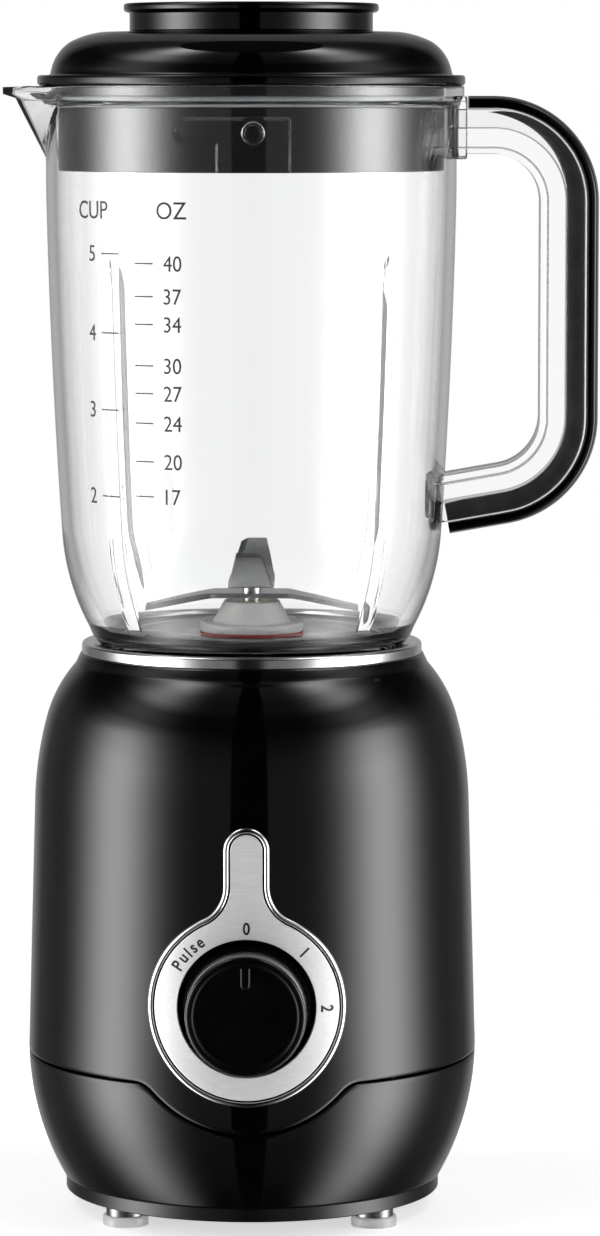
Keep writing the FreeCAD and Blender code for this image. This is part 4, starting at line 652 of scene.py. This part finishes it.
# Jar: one closed outline turned about the axis, with its outer side pushed out to the spout,
# its inner side pushed out to the pouring channel, and the ribs pressed inwards.
def makeJar():
    inner = jar["radius"] - jar["wall"]
    loop = [(jar["skirt"] - jar["skirtWall"], foot), (jar["skirt"], foot),
            (jar["skirt"], foot + 16.5), *jarOutside, (inner, rim), (inner, foot + 158),
            (jar["waist"] - jar["wall"], foot + 54, -2297.0),
            (jar["calf"] - jar["wall"], foot + 27, -68.0), (37.6, foot + 21, -10.0),
            (jar["hub"], foot + 21), (jar["hub"], foot + 17),
            (jar["skirt"] - jar["skirtWall"], foot + 17)]
    line = soften(trace(loop), 2)
    line = thin(line, np.where(line[:, 1] > rim - 27, 1.3, 3.4), 9.0)
    radius, height = line[:, 0], line[:, 1]
    peak = int(np.argmax(np.where(height > rim - 0.5, radius, 0)))
    isInner = np.arange(len(line)) > peak
    isInner &= (radius < jarRadius(height) - 1.2) | (height > rim - 0.8)
    angle = jarAngles()[:, None]
    fromSpout, spoutFoot = apart(angle, math.pi), rim - jar["spoutDeep"]
    share = np.clip((height - spoutFoot) / 22.2, 0, 1)
    under = spoutRadius(fromSpout, 61.4 + 11.4 * share, jar["spoutNose"], 60.65 + 2.25 * share)
    lip = spoutRadius(fromSpout, jar["spoutReach"], jar["spoutNose"], jar["lip"])
    blend = np.clip((height - (rim - 3.1)) / 0.6, 0, 1)
    outer = under * (1 - blend) + lip * blend
    edge = np.minimum(radius - jarRadius(height), 0)
    wide = np.where(height > spoutFoot, np.maximum(radius, outer + edge), radius)
    shareIn = np.clip((height - spoutFoot) / jar["spoutDeep"], 0, 1)
    channel = spoutRadius(fromSpout, 57.4 + 12.9 * shareIn, 3.5, 54.9 + 5.0 * shareIn)
    mouth = np.where(height > spoutFoot, np.maximum(radius, channel), radius)
    result = np.where(isInner, mouth, wide)
    for rib in jar["ribs"]:
        across = apart(angle, math.radians(rib)) * np.maximum(radius, 30)
        tipped = np.clip((jar["ribTop"] - height) / jar["ribFade"], 0, 1)
        tipped = tipped * np.clip((height - (foot + 27)) / jar["ribFade"], 0, 1)
        flat = np.clip((jar["ribHalf"] - across) / 0.7 + 0.5, 0, 1)
        flat = flat * flat * (3 - 2 * flat)
        side = isInner & (radius > 40)
        result = result - np.where(side, jar["ribDepth"] * flat * tipped, 0)
    return aboutAxis(result, angle, height)


# The handle's outer line in the X-Z plane, evenly stepped, with its inward normals.
def handleLine(rootX, endX, step=2.2):
    topZ = rim - 3.0
    low = rim - 101.0
    backX = 73.2 + 33 * math.cos(math.radians(80))
    backZ = low - 33 * math.sin(math.radians(80))
    endZ = backZ - (backX - endX) / math.tan(math.radians(80))
    line = trace([(rootX, topZ), (74.2, topZ), (106.2, topZ - 32, -32.0), (106.2, low),
                  (backX, backZ, -33.0), (endX, endZ)], closed=False, step=0.4)
    ahead = np.gradient(line, axis=0)
    normal = np.stack([ahead[:, 1], -ahead[:, 0]], 1)
    normal = soften(normal, 3, closed=False)
    normal /= np.hypot(*normal.T)[:, None]
    keep = np.zeros(len(line), bool)
    keep[::int(step / 0.4)] = True
    keep[[0, -1]] = True
    return line[keep], normal[keep]


# where each part of the handle starts and ends, as x at the root and x at the lower end
handle = {"clear": (62.4, 57.9), "strip": (66.4, 61.0), "tongue": (68.6, 61.0)}


# a section of (depth, across) carried along the handle
def alongHandle(line, normal, section):
    return swept(line, normal, section[:, 0] + 0 * line[:, :1], section[:, 1])


# the clear part of the handle: a channel whose open side faces the cover
line, normal = handleLine(*handle["clear"])
section = profile([(4.9, -13.0), (4.0, -12.1, -0.9), (4.0, -6.7), (9.95, -6.7), (9.95, 6.7),
                   (4.0, 6.7), (4.0, 12.1), (4.9, 13.0, -0.9), (15.4, 13.0),
                   (17.8, 10.6, 2.4), (17.8, -10.6), (15.4, -13.0, 2.4)],
                  steps=1, longest=2.2, bend=12)
clearGrid = alongHandle(line, normal, section)

# the boss that the handle grows from, a rounded plate on the jar's wall
bossLine = trace([(-11.5, 344.0 - rim), (11.5, 344.0 - rim), (14.0, 341.5 - rim, -2.5),
                  (14.0, 327.3 - rim), (11.5, 324.8 - rim, -2.5), (-11.5, 324.8 - rim),
                  (-14.0, 327.3 - rim, -2.5), (-14.0, 341.5 - rim), (-11.5, 344.0 - rim, -2.5)])
bossLine = thin(bossLine, 2.0, 12)
bossMiddle = np.array([0, 334.4 - rim])
layers = np.array([[62.5, 1.0], [65.2, 1.0], [65.8, 0.975], [65.9, 0.94], [65.9, 0.5],
                   [65.9, 0.0]])
shape = bossMiddle + (bossLine - bossMiddle)[None, :, :] * layers[:, 1, None, None]
deep = layers[:, 0, None] + 0 * shape[..., 0]
deep[0] = np.sqrt(62.6**2 - shape[0, :, 0] ** 2)
bossGrid = np.stack([deep, shape[..., 0], shape[..., 1] + rim], -1)
start = bossGrid[:1].mean(1, keepdims=True)
bossGrid = np.concatenate([start + 0 * bossGrid[:1], bossGrid])


# nubs inside the rim, front and back, that the lid's slots turn on to: short rounded pegs
def nubGrid(side):
    ringRadius = np.array([0, 2.0, 3.1, 3.5, 3.5, 3.5, 0])
    depth = np.array([57.9, 57.9, 58.1, 58.6, 60.0, 60.6, 60.6])
    around = fullTurn(32)
    x = 2.0 + ringRadius * np.cos(around)
    z = rim - 14.0 + ringRadius * np.sin(around)
    return np.stack([-side * x, side * depth + 0 * x, z], -1)


addGrids("jarBody", [(makeJar(), True, True)], "jar", "clear", ["jar"])
addGrids("jarHandle", [(closedEnds(clearGrid), False, True)], "jar", "clear", ["jar_handle"], 50)
addGrids("handleBoss", [(bossGrid, False, True)], "jar", "clear", sharp=50)
addGrids("lidNubs", [(nubGrid(side), True, False) for side in (-1, 1)], "jar", "clear", sharp=50)
print("blender scene: jar made")

# cover strip: a crowned black band on the handle's outside
line, normal = handleLine(*handle["strip"])
strip = profile([(0.8, -12.4), (1.4, -12.9), (3.4, -12.9), (3.75, -12.4), (3.75, 12.4),
                 (3.4, 12.9), (1.4, 12.9), (0.8, 12.4), (0.0, 8.5), (0.0, -8.5)],
                steps=1, longest=1.5, bend=10)
addGrids("handleCover", [(closedEnds(alongHandle(line, normal, strip)), False, True)], "jar",
         "gloss_black", ["handle_cover"], 50)

# thin white strips along both edges, where the cover strip meets the clear channel: a painted
# highlight for the light that the clear channel's edge catches
highlightStrip = profile([(3.8, 12.5), (4.4, 12.5), (4.4, 13.05), (3.8, 13.05)], steps=1, longest=1.0)
addGrids("handlePaintedHighlight", [(closedEnds(alongHandle(line, normal, edge)), False, True)
                        for edge in (highlightStrip, (highlightStrip * [1, -1])[::-1])],
         "jar", "white_plastic", sharp=50)

# tongue: the bar behind the strip that fills the channel; it thins out towards the rim
line, normal = handleLine(*handle["tongue"])
run = np.concatenate([[0], np.cumsum(np.hypot(*np.diff(line, axis=0).T))])
deepest = 4.6 + 5.1 * np.clip(run / 52.0, 0, 1) ** 0.8
deepest = np.minimum(deepest, 4.3 + 5.4 * np.clip((run[-1] - run + 30) / 34.0, 0, 1))
corner = np.array([[0, -6.5], [0, -2], [0, 2], [0, 6.5], [0.5, 6.5], [0.9, 6.4], [1, 6.0],
                   [1, 2], [1, -2], [1, -6.0], [0.9, -6.4], [0.5, -6.5]])
depth = 4.05 + (deepest[:, None] - 4.05) * corner[:, 0]
tongueGrid = swept(line, normal, depth, corner[:, 1])
tongueData = meshFrom("handleTongue", [(closedEnds(tongueGrid), False, True)], sharp=50)
# its finish is painted lighter grey than the cover: a painted sheen for the black seen through
# the clear channel
addPiece("handleTongue", tongueData, "jar", "gloss_black", (), tonguePaintedGrey)
print("blender scene: handle made")


# ---- measuring scale on the jar

scale = {"cup": ((5, 297.2), (4, 273.5), (3, 250.4), (2, 224.3)),
         "oz": ((40, 294.5), (37, 284.7), (34, 276.4), (30, 264.1), (27, 255.8), (24, 246.9),
                (20, 235.4), (17, 224.9)), "header": 310.2, "line": 0.42}


# Wraps flat points (across, up, out) on the jar's front: angle = across / radius.
def onJar(x, z, out):
    angle = x / jarRadius(z)
    radius = jarRadius(z) + 0.04 + out
    return np.stack([radius * np.sin(angle), -radius * np.cos(angle), z], -1)


# a position seen straight from the front, as a length along the wall
def alongWall(x, z):
    radius = float(jarRadius(z))
    return math.asin(x / radius) * radius


marks = [("CUP", -46.4, scale["header"], 5.4), ("OZ", -22.3, scale["header"], 5.2)]
marks += [(str(cup), -46.6, height, 4.9) for cup, height in scale["cup"]]
marks += [(str(ounce), -22.0, height, 4.7) for ounce, height in scale["oz"]]
for number, (text, x, z, size) in enumerate(marks):
    data, spots = wordMesh(text, size, 0.05)
    middle = alongWall(x, z)
    squeeze = 0.92 if len(text) > 1 else 0.95
    spots = onJar(middle + spots[:, 0] * squeeze, z + spots[:, 1], 0.05 + spots[:, 2])
    addPiece(f"scaleMark{number}", placeWord(data, spots), "jar", "knob_dark", (), printInk)

ticks = [(-43.7, -38.3, height) for _, height in scale["cup"]]
ticks += [(-33.4, -27.9, height) for _, height in scale["oz"]]
tickGrids = []
for left, right, z in ticks:
    along = np.linspace(alongWall(left, z), alongWall(right, z), 9)[:, None]
    up = np.array([-0.5, 0.5, 0.5, -0.5])[None, :] * scale["line"]
    out = np.array([0, 0, 0.1, 0.1])[None, :] + 0 * along
    tickGrids.append((closedEnds(onJar(along + 0 * up, z + up + 0 * along, out)), False, True))
addPiece("scaleTicks", meshFrom("scaleTicks", tickGrids, 1e-7, 40), "jar", "knob_dark", (),
         printInk)
print("blender scene: scale printed")


# ---- blades and their bearing

bladeSet = {"half": 7.0, "tip": 4.0, "flat": 11.0, "thick": 1.5, "ground": 2.2}


# Blade: a bar along s bent up or down past the flat part, height = base + |s - flat| tan(bend)
# with a small round at the bend, narrowing to the tip, one long edge ground to a wedge.
def makeBlade(seat, farthest, bend, turn):
    s = np.linspace(-farthest, farthest, 61)[:, None]
    past = np.maximum(np.abs(s) - bladeSet["flat"], 0)
    lift = math.tan(math.radians(bend)) * (np.sqrt(past**2 + 4) - 2) * (past > 0)
    half = bladeSet["half"] - (bladeSet["half"] - bladeSet["tip"]) * past / (
        farthest - bladeSet["flat"])
    wedge = np.clip(past / 4, 0, 1)
    ground = bladeSet["ground"] * wedge
    thick = bladeSet["thick"]
    lead = np.sign(s) + (s == 0)
    across = np.concatenate([-half, -half, half - ground, half, half - 0.1 * ground],
                            1) * lead
    up = np.concatenate([0 * s, 0 * s + thick, 0 * s + thick,
                         thick * (0.12 + 0.88 * (1 - wedge)), 0 * s], 1)
    z = seat + lift + up
    cos, sin = math.cos(math.radians(turn)), math.sin(math.radians(turn))
    x, y = s * cos - across * sin, s * sin + across * cos
    return closedEnds(np.stack([x, y, z], -1))


hubLow, hubTop = (corner[2] for corner in reach("blade_hub"))
for name, seat, farthest, bend, turn, node in (
        ("lowerBlade", hubTop + 1.3, 32.9, -12.0, 0, "lower_blade"),
        ("upperBlade", reach("upper_blade")[0][2], 28.9, 35.0, 90, "upper_blade")):
    blade = makeBlade(seat, farthest, bend, turn)
    addGrids(name, [(blade, False, True)], "blades", "steel", [node], 25)

# bearing hub in the jar's floor: a threaded stem, a flange and a sloped crown
hubLine = profile([(5.6, hubLow), (9.3, hubLow), (9.3, hubTop - 8.8), (16.0, hubTop - 8.8),
                   (16.0, hubTop - 6.3), (12.0, hubTop - 6.3), (8.5, hubTop), (5.6, hubTop)],
                  steps=2, longest=1.5)
addGrids("bladeHub", [(turned(hubLine, 96), True, True)], "jar", "white_plastic", ["blade_hub"])


# cap nut: the radius goes from a hexagon, flat / cos(angle within a side), to a round dome
def makeCapNut():
    low = reach("blade_nut")[0][2]
    angle, corners = fullTurn(72), 5.35
    within = (angle + math.pi / 6) % (math.pi / 3) - math.pi / 6
    hexagon = corners * math.cos(math.pi / 6) / np.cos(within)
    dome = np.linspace(0, math.pi / 2, 8)
    radius = np.concatenate([[0, 1, 1, 0.97], 0.78 * np.cos(dome)])
    height = np.concatenate([[0, 0, 3.2, 3.5], 3.5 + 1.5 * np.sin(dome)]) + low
    roundness = np.concatenate([[0, 0, 0, 0.3], np.ones(8)])
    wide = radius * (hexagon * (1 - roundness) + corners * roundness)
    return aboutAxis(wide, angle, height)


addGrids("bladeNut", [(makeCapNut(), True, False)], "blades", "steel", ["blade_nut"], 35)
print("blender scene: blades made")


# ---- lid and measuring cap

lidTop = rim + 16.4
lid = {"hole": 34.2, "collar": 2.5, "flat": 45.7, "crown": 55.4, "dome": 61.4,
       "flange": 65.5, "wall": 2.6, "skirt": 59.1, "skirtWall": 2.4, "skirtLow": rim - 25.7,
       "slot": 1.4}


# Lid: one closed outline turned about the axis: collar, inner side, skirt with the seal's
# groove, flange, dome and flat top. The slots are pressed into the skirt.
def makeLid():
    wall, low = lid["wall"], lid["skirtLow"]
    collar, inner = lid["hole"] + lid["collar"], lid["skirt"] - lid["skirtWall"]
    loop = [(lid["hole"], lidTop - 11.4), (collar, lidTop - 11.4),
            (collar, lidTop - wall), (lid["flat"], lidTop - wall),
            (lid["crown"] - 1.3, lidTop - 3 - wall, -25.9),
            (lid["dome"] - wall, rim + 4.0, -11.0), (inner, rim),
            (inner, low), (lid["skirt"], low), (lid["skirt"], rim - 6.0),
            (lid["skirt"] - 1.2, rim - 6.0), (lid["skirt"] - 1.2, rim - 3.0),
            (lid["skirt"], rim - 3.0), (lid["skirt"], rim), (lid["flange"] - 0.7, rim),
            (lid["flange"], rim + 0.7), (lid["flange"], rim + 2.6),
            (lid["flange"] - 0.7, rim + 3.3, 0.7), (lid["dome"] + 0.3, rim + 3.3),
            (lid["dome"], rim + 4.0), (lid["crown"], lidTop - 3.0, 13.6),
            (lid["flat"], lidTop, 28.5), (lid["hole"], lidTop)]
    line = soften(trace(loop), 2)
    onSkirt = (line[:, 0] > lid["skirt"] - 0.6) & (line[:, 1] < rim - 6.5)
    line = thin(line, np.where(onSkirt, 0.5, 2.5))
    radius, height = line[:, 0], line[:, 1]
    fine = np.linspace(0, 2 * math.pi, 7200, endpoint=False)
    need = 1 + 5.0 * (np.abs(np.sin(fine)) > math.cos(0.42))
    angle = np.interp((np.arange(400) + 0.5) / 400, np.cumsum(need) / need.sum(), fine)[:, None]
    # slots for the nubs, front and back: depth' = depth * smooth step of the distance inside
    # an open channel joined to a round-ended arm on its left
    across = -np.sign(np.sin(angle)) * lid["skirt"] * np.cos(angle)
    channel = np.minimum(np.minimum(across + 9.0, 13.0 - across), rim - 9.5 - height)
    nearest = np.clip(across, -17.5, 0.0)
    arm = 3.75 - np.hypot(across - nearest, height - (rim - 13.25))
    inside = np.clip(np.maximum(channel, arm) / 0.5, 0, 1)
    inside = inside * inside * (3 - 2 * inside)
    onSkirt = (radius > lid["skirt"] - 0.6) & (height < rim - 6.5)
    radius = radius - np.where(onSkirt, lid["slot"] * inside, 0)
    return aboutAxis(radius, angle, height)


addGrids("lidShell", [(makeLid(), True, True)], "lid", "gloss_black", ["lid"])

# seal with two lips in the skirt's groove
gasketLine = profile([(57.9, rim - 5.9), (58.9, rim - 5.9), (59.5, rim - 5.2),
                      (59.2, rim - 4.5), (59.5, rim - 3.8), (58.9, rim - 3.1),
                      (57.9, rim - 3.1)], steps=1, longest=0.5)
addGrids("lidSeal", [(turned(gasketLine, 192), True, True)], "lid", "silicone", ["lid_gasket"])

# measuring cap: a flat rimmed top and a hollow plug that tapers down into the lid's hole
capHigh = reach("measuring_cap")[1][2]
capLine = profile([(0, capHigh), (38.3, capHigh), (39.0, capHigh - 0.7, -0.7),
                   (39.0, capHigh - 2.1), (38.3, capHigh - 2.8), (37.2, capHigh - 2.8),
                   (37.2, lidTop), (33.6, lidTop), (32.8, lidTop - 23.4),
                   (30.8, lidTop - 23.4), (31.6, capHigh - 2.5), (0, capHigh - 2.5)],
                  closed=False, steps=2, longest=3.0)
addGrids("measuringCap", [(turned(capLine, 192), True, False)], "cap", "gloss_black",
         ["measuring_cap"])
print("blender scene: lid and cap made")


# ---- stage

stage = {"middle": 72.0, "spread": 19.5, "glow": 6.5, "fill": 0.16, "gap": 9.5,
         "dim": 0.04, "back": 0.2, "backFrom": 140.0, "within": 0.25,
         "wall": ((1.3, -3.5), (1.3, -2.0), (1.3, -0.6), (1.3, 0.6), (1.3, 1.5), (1.15, 1.95),
                  (0.8, 2.3)),
         "fade": ((-3.5, 0.04), (-2.0, 0.3), (-1.0, 0.55), (-0.4, 0.95), (0.35, 1.0), (0.5, 0.78),
                  (0.68, 0.32), (0.85, 0.12), (1.2, 0.12), (1.5, 0.42), (1.85, 0.5),
                  (2.3, 1.0))}


# one sum in a node tree: each operand is a number or another node's output
def mathNode(tree, operation, first, second=None):
    node = tree.nodes.new("ShaderNodeMath")
    node.operation = operation
    for socket, source in zip(node.inputs, (first, second)):
        if source is None:
            continue
        if isinstance(source, (int, float)):
            socket.default_value = source
        else:
            tree.links.new(source, socket)
    return node.outputs[0]


# Two tests of how light reached a surface: without a bounce, and through more clear surfaces
# than a number. The light path's own node comes first.
def pathTests(tree, surfaces):
    path = tree.nodes.new("ShaderNodeLightPath")
    bounced = mathNode(tree, "ADD", path.outputs["Glossy Depth"], path.outputs["Diffuse Depth"])
    straight = mathNode(tree, "LESS_THAN", bounced, 0.5)
    through = mathNode(tree, "GREATER_THAN", path.outputs["Transmission Depth"], surfaces)
    return path, straight, through


# two looks mixed: a share of 0 shows the first, and of 1 the second
def mixed(tree, share, first, second):
    mix = tree.nodes.new("ShaderNodeMixShader")
    for socket, source in zip(mix.inputs, (share, first, second)):
        tree.links.new(source, socket)
    return mix.outputs[0]


# Curved studio sheets to the left and right. Their glow is a bell curve in the bearing seen
# from the object, times a fade by height, and a faint light from behind:
# (glow * exp(-((bearing - middle) / spread)^2) + fill beyond the gap) * fade(z)
# + back * clamp((bearing - backFrom) / 15 degrees).
def makeGlowWalls():
    glow = bpy.data.materials.new("studioGlow")
    glow.use_nodes = True
    tree = glow.node_tree
    tree.nodes.clear()
    spot = tree.nodes.new("ShaderNodeTexCoord")
    split = tree.nodes.new("ShaderNodeSeparateXYZ")
    tree.links.new(spot.outputs["Object"], split.inputs["Vector"])
    side = mathNode(tree, "ABSOLUTE", split.outputs["X"])
    forward = mathNode(tree, "MULTIPLY", split.outputs["Y"], -1.0)
    bearing = mathNode(tree, "ARCTAN2", side, forward)
    away = mathNode(tree, "SUBTRACT", bearing, math.radians(stage["middle"]))
    away = mathNode(tree, "DIVIDE", away, math.radians(stage["spread"]))
    bell = mathNode(tree, "EXPONENT", mathNode(tree, "MULTIPLY",
                                               mathNode(tree, "MULTIPLY", away, away), -1.0))
    beyond = mathNode(tree, "GREATER_THAN", bearing, math.radians(stage["gap"]))
    level = mathNode(tree, "ADD", mathNode(tree, "MULTIPLY", bell, stage["glow"]),
                     mathNode(tree, "MULTIPLY", beyond, stage["fill"]))
    low, high = stage["fade"][0][0], stage["fade"][-1][0]
    ramp = tree.nodes.new("ShaderNodeValToRGB")
    tree.links.new(mathNode(tree, "DIVIDE",
                            mathNode(tree, "SUBTRACT", split.outputs["Z"], low), high - low),
                   ramp.inputs["Fac"])
    for step, (height, share) in enumerate(stage["fade"]):
        place = (height - low) / (high - low)
        if 0 < step < len(stage["fade"]) - 1:
            ramp.color_ramp.elements.new(place)  # lands before the last one
        element = ramp.color_ramp.elements[step]
        element.position, element.color = place, (share, share, share, 1)
    level = mathNode(tree, "MULTIPLY", level, ramp.outputs["Color"])
    behind = mathNode(tree, "SUBTRACT", bearing, math.radians(stage["backFrom"]))
    behind = mathNode(tree, "DIVIDE", behind, math.radians(15))
    behind = mathNode(tree, "MINIMUM", mathNode(tree, "MAXIMUM", behind, 0.0), 1.0)
    level = mathNode(tree, "ADD", level, mathNode(tree, "MULTIPLY", behind, stage["back"]))
    # what is seen straight through the clear jar is the white surround, not these sheets
    path, straight, through = pathTests(tree, 0.5)
    # and so is what is thrown about once within one clear wall
    within = mathNode(tree, "COMPARE", path.outputs["Transmission Depth"], 2.0)
    within = mathNode(tree, "MULTIPLY", within, stage["within"])
    seen = mathNode(tree, "MAXIMUM", mathNode(tree, "MULTIPLY", straight, through), within)
    light = tree.nodes.new("ShaderNodeEmission")
    tree.links.new(level, light.inputs["Strength"])
    clear = tree.nodes.new("ShaderNodeBsdfTransparent")
    out = tree.nodes.new("ShaderNodeOutputMaterial")
    tree.links.new(mixed(tree, seen, light.outputs[0], clear.outputs[0]), out.inputs["Surface"])
    for side, name in ((-1, "glowWallLeft"), (1, "glowWallRight")):
        bearing = np.radians(np.linspace(0, 180, 42))[:, None] * side
        away, height = np.array(stage["wall"]).T[:, None, :]
        wall = np.stack([away * np.sin(bearing), -away * np.cos(bearing),
                         height + 0 * bearing], -1)
        data = bpy.data.meshes.new(name)
        data.from_pydata(wall.reshape(-1, 3).tolist(), [],
                         quads(*wall.shape[:2], False, False, 0).tolist())
        data.materials.append(glow)
        sheet = addObject(name, data)
        sheet.visible_camera = False


makeGlowWalls()

# floor: a pale sheet that fades away at its rim into the white surround
floorLook = {"half": 1.2, "shade": 0.93, "rough": 0.6, "glow": 0.6, "near": 0.15, "far": 0.75}
floorData = bpy.data.meshes.new("floor")
half = floorLook["half"]
floorData.from_pydata([(-half, -half, 0), (half, -half, 0), (half, half, 0), (-half, half, 0)],
                      [], [(0, 1, 2, 3)])
floor = addObject("floor", floorData)
pale = bpy.data.materials.new("paleFloor")
pale.use_nodes = True
nodes, links = pale.node_tree.nodes, pale.node_tree.links
shader = nodes["Principled BSDF"]
shader.inputs["Base Color"].default_value = (*[floorLook["shade"]] * 3, 1)
shader.inputs["Roughness"].default_value = floorLook["rough"]
shader.inputs["Emission Color"].default_value = (1, 1, 1, 1)
shader.inputs["Emission Strength"].default_value = floorLook["glow"]
spot = nodes.new("ShaderNodeTexCoord")
distance = nodes.new("ShaderNodeVectorMath")
distance.operation = "LENGTH"
links.new(spot.outputs["Object"], distance.inputs[0])
fall = nodes.new("ShaderNodeMapRange")
fall.interpolation_type = "SMOOTHSTEP"
for socket, value in (("From Min", floorLook["near"]), ("From Max", floorLook["far"]),
                      ("To Min", 1.0), ("To Max", 0.0)):
    fall.inputs[socket].default_value = value
links.new(distance.outputs["Value"], fall.inputs["Value"])
clear = nodes.new("ShaderNodeBsdfTransparent")
look = mixed(pale.node_tree, fall.outputs["Result"], clear.outputs[0], shader.outputs[0])
links.new(look, nodes["Material Output"].inputs["Surface"])
floorData.materials.append(pale)
floor.visible_glossy = False

# surround: white to the eye and through clear plastic, dim in reflections
world = bpy.data.worlds.new("surround")
bpy.context.scene.world = world
world.use_nodes = True
nodes, links = world.node_tree.nodes, world.node_tree.links
nodes.clear()
out = nodes.new("ShaderNodeOutputWorld")
bright, dim = nodes.new("ShaderNodeBackground"), nodes.new("ShaderNodeBackground")
bright.inputs["Color"].default_value = (1, 1, 1, 1)
bright.inputs["Strength"].default_value = 1.0
dim.inputs["Color"].default_value = (0.9, 0.95, 1, 1)
dim.inputs["Strength"].default_value = stage["dim"]
_, straight, through = pathTests(world.node_tree, 1.5)
seen = mathNode(world.node_tree, "MAXIMUM", straight, through)
look = mixed(world.node_tree, seen, dim.outputs[0], bright.outputs[0])
links.new(look, out.inputs["Surface"])
world.cycles.sampling_method = "NONE"
bpy.context.scene.view_settings.view_transform = "Standard"

# camera: a long lens, a little above the object and to its right
view = {"lens": 151.46, "distance": 1.6, "height": 0.345, "down": 5.77, "right": 0.9,
        "aside": 0.0149}
lensData = bpy.data.cameras.new("studioCamera")
lensData.lens = view["lens"]
lensData.sensor_width = 36
lensData.clip_end = 20
camera = addObject("studioCamera", lensData)
turn = math.radians(view["right"])
camera.location = (math.sin(turn) * view["distance"] + math.cos(turn) * view["aside"],
                   -math.cos(turn) * view["distance"] + math.sin(turn) * view["aside"],
                   view["height"])
camera.rotation_euler = (math.radians(90 - view["down"]), 0, turn)
bpy.context.scene.camera = camera
print("blender scene: stage and camera set")
